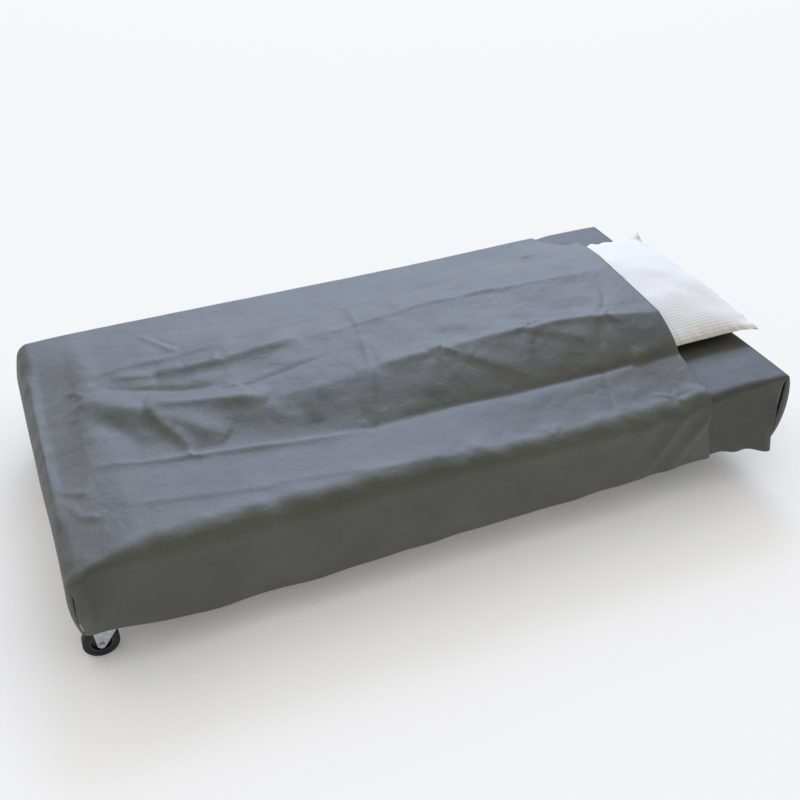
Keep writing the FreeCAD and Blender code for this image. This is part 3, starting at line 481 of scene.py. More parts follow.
@dataclass(frozen=True)
class Fold:
    """A ridge or a valley along a route on the cloth.

    Attributes:
        route: points of the route, in metres on the bed.
        height: how high it stands; below zero for a valley.
        near: half width on the right of the route.
        far: half width on the left of the route.
        sharp: 1 for a round fold, up to 2 for a crisp crease.
    """

    route: tuple[tuple[float, float], ...]
    height: float
    near: float
    far: float
    sharp: float = 1.0

    def relief(self, x: np.ndarray, y: np.ndarray) -> np.ndarray:
        """Height that the fold adds at each place."""
        best = np.full(x.shape, 1e9)
        side = np.zeros(x.shape)
        along = np.zeros(x.shape)
        lengths = [math.dist(a, b) for a, b in zip(self.route, self.route[1:])]
        done = 0.0
        for (ax, ay), (bx, by), length in zip(self.route, self.route[1:], lengths):
            ux, uy = (bx - ax) / length, (by - ay) / length
            reach = np.clip((x - ax) * ux + (y - ay) * uy, 0.0, length)
            dx, dy = x - ax - reach * ux, y - ay - reach * uy
            away = np.hypot(dx, dy)
            closer = away < best
            best = np.where(closer, away, best)
            side = np.where(closer, ux * dy - uy * dx, side)
            along = np.where(closer, done + reach, along)
            done += length
        width = np.where(side > 0, self.far, self.near)
        share = along / done
        taper = np.sqrt(np.clip(np.minimum(share, 1 - share) * 5.0, 0.0, 1.0))
        section = np.exp(-(best / width) ** (2.0 / self.sharp))
        return self.height * taper * section


def make_object(name: str, vertices: np.ndarray, faces: Sequence[Sequence[int]],
                flat: np.ndarray | None = None) -> bpy.types.Object:
    """Makes a smooth-shaded mesh object.

    Args:
        name: the object's name.
        vertices: positions, one row each.
        faces: vertex numbers of each face.
        flat: place of each vertex on the flat cloth, used as its UV, in metres.

    Returns:
        The object, linked to the scene.
    """
    mesh = bpy.data.meshes.new(name)
    mesh.from_pydata([tuple(map(float, row)) for row in vertices], [], [tuple(face) for face in faces])
    mesh.validate()
    if flat is not None:
        layer = mesh.uv_layers.new(name="flat")
        corners = np.zeros(len(mesh.loops), np.int64)
        mesh.loops.foreach_get("vertex_index", corners)
        layer.data.foreach_set("uv", flat[corners].astype(np.float32).ravel())
    mesh.polygons.foreach_set("use_smooth", np.ones(len(mesh.polygons), bool))
    piece = bpy.data.objects.new(name, mesh)
    bpy.context.scene.collection.objects.link(piece)
    return piece


def apply_modifiers(piece: bpy.types.Object) -> None:
    """Turns a piece's modifiers into its own mesh."""
    graph = bpy.context.evaluated_depsgraph_get()
    graph.update()
    mesh = bpy.data.meshes.new_from_object(piece.evaluated_get(graph), depsgraph=graph)
    piece.modifiers.clear()
    piece.data = mesh


def thicken(piece: bpy.types.Object, thickness: float) -> None:
    """Gives a cloth its thickness, inwards from the surface."""
    shell = piece.modifiers.new("thickness", "SOLIDIFY")
    shell.thickness = thickness
    shell.offset = -1.0
    shell.use_even_offset = False
    apply_modifiers(piece)


# ------------------------------------------------------------------ the bed's plan

class End(Enum):
    """Where along the bed a cover ends in a hanging panel."""

    FOOT = "foot"
    HEAD = "head"


@dataclass
class Plan:
    """Sizes that every soft piece works from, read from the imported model."""

    middle: float = field(init=False)
    foot: float = field(init=False)
    head: float = field(init=False)
    side: float = field(init=False)
    top: float = field(init=False)
    foot_sink: float = 0.034
    far_foot_rise: float = 0.028
    foot_sink_length: float = 0.165
    near_sink: float = 0.005
    near_press: float = 0.021
    far_head_lift: float = 0.011

    def __post_init__(self) -> None:
        """Reads the mattress and the covers."""
        low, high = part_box("mattress_ticking")
        self.middle = (low.x + high.x) / 2
        cover_low, cover_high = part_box("base_cover_top")
        self.foot, self.head = cover_low.x, cover_high.x
        self.side, self.top = cover_high.y, cover_high.z

    def sag(self, x: np.ndarray, y: np.ndarray) -> np.ndarray:
        """How far the mattress has sunk below its full height towards its foot end and its long edges."""
        along = x - self.middle
        far_part = smooth_step(y, self.side - 0.26, self.side - 0.03)
        toward_end = np.clip(1.0 - (x - self.foot) / self.foot_sink_length, 0.0, 1.3)
        foot = (self.foot_sink - self.far_foot_rise * far_part) * toward_end ** 1.4
        lift = self.far_head_lift * smooth_step(y, 0.12, 0.46) * smooth_step(along, 0.10, 0.90)
        pressed = smooth_step(along, -0.1, 0.25) * (1.0 - smooth_step(along, 0.66, 0.84))
        at_edge = smooth_step(-y, self.side - 0.21, self.side + 0.02)
        near = (self.near_sink + self.near_press * pressed) * at_edge
        return foot + near - lift

    def softness(self, x: np.ndarray, y: np.ndarray) -> tuple[np.ndarray, np.ndarray]:
        """Radius of the rounding at the end and at the side that a place is nearer to."""
        end = np.where(x < self.middle, 0.024, 0.006)
        near = 0.050 - 0.016 * smooth_step(x - self.middle, -0.3, 0.2)
        near = near - 0.014 * smooth_step(x - self.middle, 0.66, 0.84)
        near = near - 0.036 * (1.0 - smooth_step(x - self.foot, 0.02, 0.24))
        near = near - 0.010 * smooth_step(x - self.middle, 0.86, 0.96)
        return end, np.where(y < 0, near, 0.010)

    def soften(self, places: np.ndarray, low: tuple[float, float, float],
               high: tuple[float, float, float]) -> tuple[np.ndarray, np.ndarray]:
        """Rounds the ends, sides and top of a box-shaped surface.

        Args:
            places: points on the box or inside it, one row each.
            low: lowest corner of the box.
            high: highest corner of the box.

        Returns:
            The rounded points and the direction in which the surface faces at each.
        """
        x, y, z = places.T
        soft_x, soft_y = self.softness(x, y)
        out_x = (x - np.clip(x, low[0] + soft_x, high[0] - soft_x)) / soft_x
        out_y = (y - np.clip(y, low[1] + soft_y, high[1] - soft_y)) / soft_y
        share = (out_x ** 2 + 1e-9) / (out_x ** 2 + out_y ** 2 + 2e-9)
        soft_z = soft_x * share + soft_y * (1.0 - share)
        out_z = np.maximum(z - (high[2] - soft_z), 0.0) / soft_z
        out = np.stack([out_x, out_y, out_z], axis=1)
        soft = np.stack([soft_x, soft_y, soft_z], axis=1)
        normal = out / np.maximum(np.linalg.norm(out, axis=1), 1e-9)[:, None]
        return places + (normal - out) * soft, normal

    def on_bed(self, points: Sequence[tuple[float, float]]) -> tuple[tuple[float, float], ...]:
        """Turns places in millimetres from the middle of the mattress into metres in the frame."""
        return tuple((x * MM + self.middle, y * MM) for x, y in points)


# ------------------------------------------------------------------ the blanket's relief

@dataclass
class Relief:
    """The shape of the made-up top: a long ridge that rises to the pillow, with creases and gathers.

    Places are millimetres from the middle of the mattress, x towards the head, y towards the far side.
    """

    plan: Plan
    valley_near: tuple = ((-863, -165), (-627, -222), (-413, -258), (-178, -286), (73, -280), (431, -298),
                          (740, -322))
    valley_rise: tuple = ((-250, 0), (80, 3), (370, 13), (740, 30))
    ridge_near: tuple = ((-800, -50), (-300, -124), (200, -131), (480, -146), (740, -206))
    crown: tuple = ((-800, 60), (-230, 95), (170, 105), (700, 60))
    ridge_far: tuple = ((-800, 205), (-350, 215), (50, 198), (400, 190), (740, 165))
    valley_far: tuple = ((-800, 400), (-450, 388), (-60, 312), (250, 360), (720, 445))
    crest: tuple = ((-850, 4), (-700, 18), (-575, 32), (-310, 56), (-20, 75), (214, 88), (480, 98),
                    (720, 104))
    grid: float = 0.004
    pillow_top: Field | None = None

    def creases(self) -> list[Fold]:
        """Lines left by the folding of the cloth, and the folds that its weight makes."""
        def fold(height: float, near: float, far: float, sharp: float, *points: tuple[float, float]) -> Fold:
            """One fold, its sizes given in millimetres."""
            return Fold(self.plan.on_bed(points), height * MM, near * MM, far * MM, sharp)
        return [
            # folds left from packing, along the bed
            fold(6.5, 11, 34, 1.5, (-850, -330), (-672, -367), (-511, -396), (-420, -402), (-204, -440),
                 (0, -466)),
            fold(6.0, 14, 22, 1.5, (-160, -112), (94, -119), (214, -122), (348, -133), (484, -144),
                 (584, -167), (690, -196)),
            fold(9, 15, 11, 1.3, (-880, -158), (-750, -200), (-627, -222), (-413, -260), (-297, -278),
                 (-178, -292)),
            fold(-6.0, 8, 7, 1.5, (-200, -288), (-95, -283), (73, -282), (240, -294), (431, -300),
                 (591, -307), (760, -324)),
            fold(4.2, 11, 18, 1.5, (-236, 101), (-120, 88), (170, 106), (354, 86), (640, 58)),
            fold(-5.0, 9, 10, 1.5, (-583, -10), (-424, -34), (-190, -6)),
            fold(-4.2, 10, 12, 1.5, (-690, 258), (-565, 225), (-318, 196), (-120, 190)),
            fold(-4.2, 10, 12, 1.5, (-806, 425), (-647, 398), (-285, 326), (-57, 300), (220, 330),
                 (600, 372)),
            # folds left from packing, across the bed
            fold(3.4, 8, 11, 1.5, (-205, -470), (-168, -288), (-110, -120), (-70, 60), (-44, 289), (1, 455)),
            fold(-3.2, 8, 9, 1.5, (430, -470), (470, -406), (500, -300), (556, -185), (640, -80), (685, 30)),
            fold(5.0, 8, 12, 1.5, (-648, 398), (-585, 270), (-566, 232)),
            fold(-3.5, 7, 8, 1.5, (-625, 404), (-566, 280), (-548, 240)),
            # large folds that fan out from the foot end up to the ridge
            fold(18, 36, 70, 1.1, (-850, 118), (-797, 50), (-705, -24), (-626, -105), (-530, -190)),
            fold(-9, 40, 26, 1.0, (-828, 5), (-778, -65), (-735, -165)),
            fold(8, 16, 20, 1.3, (-700, -22), (-676, -98), (-640, -160), (-622, -214)),
            fold(15, 22, 40, 1.2, (-706, -12), (-588, -48), (-480, -80), (-395, -110)),
            fold(16, 24, 46, 1.2, (-640, 118), (-574, 116), (-478, 104), (-348, 100), (-230, 110)),
            fold(-8, 16, 14, 1.2, (-790, 140), (-696, 84), (-591, 30), (-480, 0)),
            fold(8, 15, 26, 1.2, (-760, 178), (-662, 136), (-574, 130)),
            fold(9, 22, 30, 1.1, (-840, 215), (-720, 214), (-560, 196), (-400, 206)),
            fold(-4, 34, 24, 1.0, (-600, -98), (-520, -142), (-440, -196)),
            fold(3, 22, 30, 1.1, (-480, -104), (-400, -150), (-330, -212)),
            # wrinkles down the near slope of the ridge
            fold(6, 22, 24, 1.1, (-250, -112), (-290, -165), (-300, -222)),
            fold(5, 18, 26, 1.1, (-110, -112), (-150, -180), (-170, -240)),
            fold(4, 16, 22, 1.1, (90, -124), (40, -180), (10, -240)),
            fold(4, 14, 30, 1.2, (98, -122), (190, -190), (300, -262)),
            fold(4, 14, 16, 1.2, (350, -136), (330, -210)),
            fold(4, 14, 30, 1.2, (356, -136), (420, -170), (520, -230)),
            # tucks on the slope at the foot end
            fold(-9, 34, 34, 1.0, (-958, 318), (-920, 243), (-868, 182)),
            fold(-8, 11, 17, 1.4, (-985, 168), (-911, 205), (-858, 196)),
            fold(-8, 11, 17, 1.4, (-985, 92), (-930, 118), (-866, 158)),
            fold(-8, 11, 17, 1.4, (-988, -40), (-935, -8), (-880, 40)),
            fold(7, 11, 18, 1.3, (-975, -188), (-930, -228), (-892, -256)),
            fold(7, 14, 14, 1.3, (-958, -236), (-920, -322), (-884, -352)),
            fold(5, 26, 40, 1.0, (-835, 440), (-841, 217), (-853, 57), (-870, -128), (-905, -330)),
        ]

    def puckers(self) -> list[Fold]:
        """Small gathers where creases cross, each a few short folds that run out from a point."""
        spots = ((-842, 128, 60, 4.0, 6), (-872, -356, 46, 4.5, 6), (-178, -290, 26, 2.5, 4),
                 (98, -121, 34, 3.5, 5), (350, -134, 40, 4.5, 6), (586, -168, 40, 4.0, 5),
                 (8, -462, 44, 4.0, 6), (262, -468, 44, 4.0, 6), (474, -466, 46, 4.5, 6),
                 (640, -452, 50, 5.0, 6), (-627, -222, 34, 4.0, 5), (-566, 236, 30, 3.0, 5),
                 (-470, 130, 34, 3.0, 4), (-440, -40, 36, 3.0, 4))
        pick = np.random.default_rng(5)
        made = []
        for x, y, size, height, rays in spots:
            for ray in range(rays):
                angle = 2 * math.pi * (ray + 0.6 * pick.random()) / rays
                length = size * (0.6 + 0.8 * pick.random())
                turn = angle + 0.5 * (pick.random() - 0.5)
                route = ((x, y), (x + 0.5 * length * math.cos(angle), y + 0.5 * length * math.sin(angle)),
                         (x + length * math.cos(turn), y + length * math.sin(turn)))
                rise = height * (0.5 + 0.7 * pick.random()) * (1 if ray % 3 else -1)
                made.append(Fold(self.plan.on_bed(route), rise * MM, 0.006, 0.008, 1.2))
        return made

    def section(self, x: np.ndarray, y: np.ndarray) -> np.ndarray:
        """Height of the ridge with straight flanks, before it is softened."""
        mm_x = (x - self.plan.middle) / MM
        mm_y = y / MM
        crest = track(self.crest, mm_x)
        level = np.zeros_like(crest)
        lines = [level - 472.0] + [track(line, mm_x, 0.06) for line in (
            self.valley_near, self.ridge_near, self.crown, self.ridge_far, self.valley_far)]
        heights = [level, track(self.valley_rise, mm_x), crest, crest * 1.05 + 2.0, crest * 0.93, level]
        total = np.zeros_like(crest)
        for (y0, y1), (h0, h1) in zip(zip(lines, lines[1:]), zip(heights, heights[1:])):
            share = (mm_y - y0) / (y1 - y0)
            inside = (share >= 0) & (share < 1)
            total = np.where(inside, h0 + (h1 - h0) * share, total)
        return total * MM

    def table(self) -> tuple[np.ndarray, np.ndarray, np.ndarray]:
        """The whole relief on a regular grid.

        Returns:
            Places along the bed, places across it, and the height at each pair of them.
        """
        plan = self.plan
        xs = np.arange(plan.foot - 0.02, plan.head + 0.02, self.grid)
        ys = np.arange(-plan.side - 0.02, plan.side + 0.02, self.grid)
        x, y = np.meshgrid(xs, ys, indexing="ij")
        raw = self.section(x, y)
        crisp, soft = self.blur(raw, 0.0035), self.blur(raw, 0.020)
        foot_part = 1.0 - smooth_step(x, plan.middle - 0.62, plan.middle - 0.30)
        far_part = smooth_step(y, 0.16, 0.30)
        valley = track(self.valley_near, (x - plan.middle) / MM) * MM
        ridge_part = (smooth_step(y - valley, 0.02, 0.06)
                      * (1 - smooth_step(x, plan.middle - 0.15, plan.middle + 0.12)))
        face = (y - valley) / np.maximum(track(self.ridge_near, (x - plan.middle) / MM) * MM - valley, 0.02)
        crisp = crisp + (0.007 * np.sin(np.clip(face, 0.0, 1.0) * math.pi)
                         * smooth_step(x, plan.middle - 0.3, plan.middle))
        mix = np.clip(foot_part * 0.8 + far_part * 0.75 + ridge_part * 0.7, 0.0, 1.0)
        height = crisp * (1 - mix) + soft * mix
        for crease in self.creases() + self.puckers():
            height = height + crease.relief(x, y)
        height = height + 0.0020 * waves(x, y, 11, 0.06, 0.30)
        height = height + 0.0010 * waves(x, y, 12, 0.03, 0.12, lean=math.pi / 2, spread=1.2)
        rise = np.clip(raw / 0.06, 0.0, 1.0)
        height = height + 0.0016 * rise * waves(x, y, 13, 0.06, 0.20, lean=0.5, spread=1.6)
        gathered = smooth_step(-y, plan.side - 0.085, plan.side - 0.03)
        height = height + 0.0040 * gathered * waves(x, y, 14, 0.045, 0.13, lean=0.3, spread=1.0)
        if self.pillow_top is not None:
            cover = self.blur(self.widest(self.pillow_top(x, y), 5), 0.013) + 0.003
            gap = height - cover
            height = cover + 0.5 * (gap + np.sqrt(gap * gap + 0.006 ** 2))
        return xs, ys, height

    def widest(self, values: np.ndarray, reach: int) -> np.ndarray:
        """Highest value within a few grid steps of each point."""
        for axis in (0, 1):
            shifted = [np.roll(values, step, axis) for step in range(-reach, reach + 1)]
            values = np.max(shifted, axis=0)
        return values

    def blur(self, values: np.ndarray, width: float) -> np.ndarray:
        """Softens a grid by a bell of the given width in metres."""
        half = int(3 * width / self.grid) + 1
        places = np.arange(-half, half + 1) * self.grid
        bell = np.exp(-0.5 * (places / width) ** 2)
        bell /= bell.sum()
        for axis in (0, 1):
            padded = np.concatenate([values.take([0] * half, axis), values,
                                     values.take([-1] * half, axis)], axis)
            values = np.apply_along_axis(np.convolve, axis, padded, bell, mode="valid")
        return values


@dataclass
class GridField:
    """Heights on a regular grid, read between its points."""

    xs: np.ndarray
    ys: np.ndarray
    values: np.ndarray

    def __call__(self, x: np.ndarray, y: np.ndarray) -> np.ndarray:
        """Reads the height at each place by straight interpolation."""
        step_x, step_y = self.xs[1] - self.xs[0], self.ys[1] - self.ys[0]
        i = np.clip((x - self.xs[0]) / step_x, 0, len(self.xs) - 1.001)
        j = np.clip((y - self.ys[0]) / step_y, 0, len(self.ys) - 1.001)
        i0, j0 = i.astype(int), j.astype(int)
        fi, fj = i - i0, j - j0
        low = self.values[i0, j0] * (1 - fj) + self.values[i0, j0 + 1] * fj
        high = self.values[i0 + 1, j0] * (1 - fj) + self.values[i0 + 1, j0 + 1] * fj
        return low * (1 - fi) + high * fi


# ------------------------------------------------------------------ cloth over the bed

@dataclass
class HangingCloth:
    """A cloth that lies on the bed and hangs down at its edges, cut with slits at its corners."""

    name: str
    plan: Plan
    foot: float
    head: float
    side: float
    top: float
    ends: tuple[End, ...]
    hem: Callable[[np.ndarray, np.ndarray], np.ndarray]
    relief: Field
    flare: Callable[[np.ndarray, np.ndarray, np.ndarray], np.ndarray]
    edge: Callable[[np.ndarray], np.ndarray] | None = None
    gather: Field | None = None
    step: float = 0.006
    drop: float = 0.227
    seam: float = 0.042
    slit: float = 0.003

    def flat_grid(self) -> tuple[np.ndarray, np.ndarray]:
        """Grid lines of the flat cloth along and across the bed, with one on each fold line."""
        def lines(low: float, high: float) -> np.ndarray:
            """Evenly spaced lines from one place to another."""
            return np.linspace(low, high, max(2, int(round((high - low) / self.step)) + 1))
        along = [lines(self.foot, self.head)]
        if End.FOOT in self.ends:
            along.insert(0, lines(self.foot - self.drop, self.foot)[:-1])
        if End.HEAD in self.ends:
            along.append(lines(self.head, self.head + self.drop)[1:])
        across = [lines(-self.side - self.drop, -self.side)[:-1], lines(-self.side, self.side),
                  lines(self.side, self.side + self.drop)[1:]]
        return np.concatenate(along), np.concatenate(across)

    def build(self) -> bpy.types.Object:
        """Makes the cloth's mesh.

        Returns:
            The cloth as one open sheet, before it gets its thickness.
        """
        s_lines, t_lines = self.flat_grid()
        numbers: dict[tuple[int, int], int] = {}
        flat: list[tuple[float, float]] = []
        faces: list[tuple[int, int, int, int]] = []
        panels: list[int] = []

        def vertex(i: int, j: int, end_panel: bool) -> int:
            """Number of the vertex at a grid crossing; it is made when first asked for."""
            key = (i, j)
            s, t = s_lines[i], t_lines[j]
            past = max(self.foot - s, s - self.head, 0.0)
            if end_panel and abs(abs(t) - self.side) < 1e-9 and 0 < past <= self.seam:
                # the corner seam: this vertex is the side panel's own
                near_end = self.foot if s < self.foot else self.head
                i_edge = int(np.argmin(np.abs(s_lines - near_end)))
                j_edge = int(np.argmin(np.abs(t_lines - math.copysign(self.side + past, t))))
                key = (i_edge, j_edge)
                s, t = s_lines[i_edge], t_lines[j_edge]
                end_panel = False
            if key not in numbers:
                numbers[key] = len(flat)
                flat.append((s, t))
                panels.append(1 if end_panel and abs(abs(t) - self.side) < 1e-9 else 0)
            return numbers[key]

        for i in range(len(s_lines) - 1):
            s = (s_lines[i] + s_lines[i + 1]) / 2
            beyond_end = s < self.foot or s > self.head
            for j in range(len(t_lines) - 1):
                t = (t_lines[j] + t_lines[j + 1]) / 2
                if beyond_end and abs(t) > self.side:
                    continue
                corners = ((i, j), (i + 1, j), (i + 1, j + 1), (i, j + 1))
                faces.append(tuple(vertex(a, b, beyond_end) for a, b in corners))
        flat_places = np.array(flat)
        places = self.fold(flat_places[:, 0], flat_places[:, 1])
        return make_object(self.name, places, faces, flat_places)

    def fold(self, s: np.ndarray, t: np.ndarray) -> np.ndarray:
        """Places of flat points once the cloth lies on the bed.

        Args:
            s: places on the flat cloth along the bed.
            t: places across it.

        Returns:
            Positions, one row each.
        """
        x, y = np.clip(s, self.foot, self.head), np.clip(t, -self.side, self.side)
        end_drop = np.maximum(np.maximum(self.foot - s, s - self.head), 0.0)
        side_drop = np.maximum(np.abs(t) - self.side, 0.0)
        down = end_drop + side_drop
        if self.edge is not None:
            pull = smooth_step(x, self.head - 0.45, self.head)
            x = x + pull * (self.edge(t) - self.head)
        depth = (self.top - self.hem(x, y)) / self.drop
        z = self.top - down * np.where(down > 0, depth, 1.0)
        low = (self.foot if End.FOOT in self.ends else self.foot - 1.0, -self.side, 0.0)
        high = (self.head if End.HEAD in self.ends else self.head + 1.0, self.side, self.top)
        places, normal = self.plan.soften(np.stack([x, y, z], axis=1), low, high)
        upward = np.clip(normal[:, 2], 0.0, 1.0)
        places[:, 2] += self.relief(x, y) * upward ** 2
        places[:, 2] -= (self.plan.sag(np.maximum(s, self.foot - 0.04), y)
                         * (1.0 - np.clip(down / self.drop, 0.0, 1.0)))
        hang = self.flare(x, y, np.maximum(self.top - places[:, 2], 0.0))
        flat_normal = normal * np.array([1.0, 1.0, 0.0])
        places += flat_normal * hang[:, None]
        if self.gather is not None:
            places += normal * self.gather(s, t)[:, None]
        self.part_corners(places, s, t, end_drop, side_drop)
        return places

    def part_corners(self, places: np.ndarray, s: np.ndarray, t: np.ndarray,
                     end_drop: np.ndarray, side_drop: np.ndarray) -> None:
        """Opens the slits below the corner seams, the side panel's edge standing off the end panel's."""
        for end, at in ((End.FOOT, self.foot), (End.HEAD, self.head)):
            if end not in self.ends:
                continue
            outward = -1.0 if end is End.FOOT else 1.0
            for depth, to_edge, is_side in ((side_drop, np.abs(s - at), True),
                                            (end_drop, self.side - np.abs(t), False)):
                mine = (depth > 0) if is_side else (depth > 0) & (np.sign(s - at) == outward)
                open_share = smooth_step(depth, self.seam, self.seam + 0.03)
                close = np.exp(-(to_edge / 0.05) ** 2) * open_share * mine
                shift = self.slit * close
                if is_side:
                    places[:, 0] -= outward * shift


@dataclass
class Blanket:
    """The outer blanket: it reaches the hem on three sides and stops short of the pillow."""

    plan: Plan
    relief: GridField
    cloth_gap: float = 0.0024
    thickness: float = 0.0011
    panel_drop: float = 0.227

    def hem(self, x: np.ndarray, y: np.ndarray) -> np.ndarray:
        """Height of the hem above the floor: it waves a little and lifts at the corners."""
        mm_x = (x - self.plan.middle) / MM
        near = track(((-979, 140), (-890, 130), (-690, 106), (-450, 108), (100, 118), (500, 128),
                      (770, 130)), mm_x)
        end = 124.0 - 10.0 * np.cos(y / self.plan.side * math.pi)
        is_end = x <= self.plan.foot + 1e-6
        wave = 1.0 * np.sin(x * 21.0 + 1.0) + 0.6 * np.sin(x * 43.0 + y * 17.0)
        return (np.where(is_end, np.maximum(end, 128.0), near) + wave) * MM

    def flare(self, x: np.ndarray, y: np.ndarray, down: np.ndarray) -> np.ndarray:
        """How far the hanging panels stand out: soft slanting folds that grow towards the hem."""
        grow = smooth_step(down, 0.01, 0.20)
        early = smooth_step(down, 0.004, 0.09)
        slant = x + 0.60 * down
        fold = 0.5 + 0.5 * np.sin(slant * 34.0 + 0.8 * np.sin(slant * 11.0))
        crisp = (0.5 + 0.5 * np.sin(slant * 52.0 + 1.3 * np.sin(slant * 17.0 + 1.0))) ** 1.6
        head_part = smooth_step(x, self.plan.middle + 0.36, self.plan.middle + 0.62)
        side_fold = (0.0020 + fold * 0.0024 * grow
                     + 0.0105 * crisp * head_part * early * (1.0 - 0.7 * smooth_step(down, 0.10, 0.22)))
        broad = 0.005 * (1.0 + waves(x + 0.2 * down, y + 2.0 * down, 21, 0.18, 0.6, count=14)) * grow
        at_foot = x < self.plan.foot + 0.03
        foot_bulge = 0.013 + 0.006 * smooth_step(y, -0.46, 0.05)
        bulge = np.where(at_foot, foot_bulge, 0.004) * np.sin(np.clip(down / self.panel_drop, 0, 1) * math.pi)
        return np.maximum(side_fold + broad + bulge, 0.0012)

    def gather(self, s: np.ndarray, t: np.ndarray) -> np.ndarray:
        """Loose gathers along the near edge, over its rounding, and smaller ones along the foot."""
        along = s - self.plan.middle
        near = np.exp(-((-t - self.plan.side + 0.004) / 0.052) ** 2) * smooth_step(along, -0.95, -0.70)
        folds = waves(s + 0.35 * t, 0.35 * t, 22, 0.060, 0.26, count=30, lean=0.0, spread=0.5)
        lumps = waves(s, t, 23, 0.04, 0.18, count=30)
        foot = np.exp(-((self.plan.foot - s - 0.010) / 0.045) ** 2)
        tucks = waves(s, t, 24, 0.05, 0.16, count=20, lean=math.pi / 2, spread=0.5)
        rise = near * (0.0042 * (1.0 + folds) + 0.0024 * (1.0 + lumps)) + foot * 0.0014 * (1.0 + tucks)
        return np.maximum(rise, 0.0)

    def edge(self, t: np.ndarray) -> np.ndarray:
        """Where the blanket's free edge at the head lies along the bed, for each place across."""
        points = ((-720, 769), (-640, 744), (-570, 726), (-490, 727), (-395, 733), (-322, 738), (-187, 737),
                  (70, 750), (200, 778), (300, 794), (400, 766), (490, 722), (720, 718))
        return track(points, t / MM, reach=0.03) * MM + self.plan.middle

    def make(self) -> bpy.types.Object:
        """Builds the blanket and its hem."""
        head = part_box("blanket_near_panel")[1].x
        cloth = HangingCloth(
            "blanket", self.plan, foot=self.plan.foot - self.cloth_gap, head=head,
            side=self.plan.side + self.cloth_gap, top=self.plan.top + self.cloth_gap, ends=(End.FOOT,),
            hem=self.hem, relief=self.relief, flare=self.flare, edge=self.edge, gather=self.gather,
            step=0.0055)
        piece = cloth.build()
        thicken(piece, self.thickness)
        BLANKET_COTTON.dress(piece)
        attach(piece, ROOT)
        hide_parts("blanket_top", "blanket_near_panel", "blanket_far_panel", "blanket_foot_panel")
        return piece


@dataclass
class FittedCover:
    """The cover on the mattress: a top and four hanging panels, slit at the corners."""

    plan: Plan

    def hem(self, x: np.ndarray, y: np.ndarray) -> np.ndarray:
        """Height of the hem above the floor: it lifts beside the blanket and dips at the head corner."""
        mm_x = (x - self.plan.middle) / MM
        side = track(((-979, 128), (600, 130), (780, 148), (850, 150), (915, 118), (979, 98)), mm_x)
        head = 104.0 + 6.0 * np.cos(y * 7.0)
        return np.where(x >= self.plan.head - 1e-6, head, side) * MM

    def relief(self, x: np.ndarray, y: np.ndarray) -> np.ndarray:
        """Faint undulation of the flat top, only where it isn't covered."""
        bare = smooth_step(x, self.plan.middle + 0.72, self.plan.middle + 0.80)
        far_corner = 0.005 * smooth_step(y, 0.15, 0.45)
        return bare * (0.0012 * (1.0 + waves(x, y, 31, 0.05, 0.25)) + far_corner) - 0.0004

    def flare(self, x: np.ndarray, y: np.ndarray, down: np.ndarray) -> np.ndarray:
        """Soft folds of the hanging panels at the head; flat beneath the blanket."""
        bare = smooth_step(x, self.plan.middle + 0.76, self.plan.middle + 0.86)
        grow = smooth_step(down, 0.02, 0.22)
        slant = x - 0.60 * down
        side_fold = 0.5 + 0.5 * np.sin((slant - self.plan.middle) * 62.0 + 1.6)
        end_fold = 0.5 + 0.5 * np.sin(y * 19.0 + 0.6 + 3.0 * down)
        is_end = x >= self.plan.head - 1e-6
        bulge = np.sin(np.clip(down / 0.235, 0, 1) * math.pi)
        corner = smooth_step(x, self.plan.head - 0.16, self.plan.head - 0.01)
        side_hang = (0.015 * side_fold + 0.022 * corner) * grow + 0.003 * bulge
        margin = 1.0 - 0.85 * np.exp(-((self.plan.side - np.abs(y)) / 0.004) ** 2)
        end_hang = (0.008 * end_fold * grow + 0.030 * np.sqrt(np.clip(bulge, 0.0, 1.0))) * margin
        return bare * np.where(is_end, end_hang, side_hang)

    def make(self) -> bpy.types.Object:
        """Builds the cover."""
        cloth = HangingCloth(
            "fitted_cover", self.plan, foot=self.plan.foot, head=self.plan.head + 0.008, side=self.plan.side,
            top=self.plan.top - 0.0004, ends=(End.FOOT, End.HEAD), hem=self.hem, relief=self.relief,
            flare=self.flare, step=0.008, seam=0.004, slit=0.009)
        piece = cloth.build()
        thicken(piece, 0.0011)
        COVER_COTTON.dress(piece)
        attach(piece, ROOT)
        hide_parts("base_cover_top", "base_cover_near_panel", "base_cover_far_panel",
                    "base_cover_foot_panel", "base_cover_head_panel")
        return piece


# ------------------------------------------------------------------ pillow, quilt and mattress

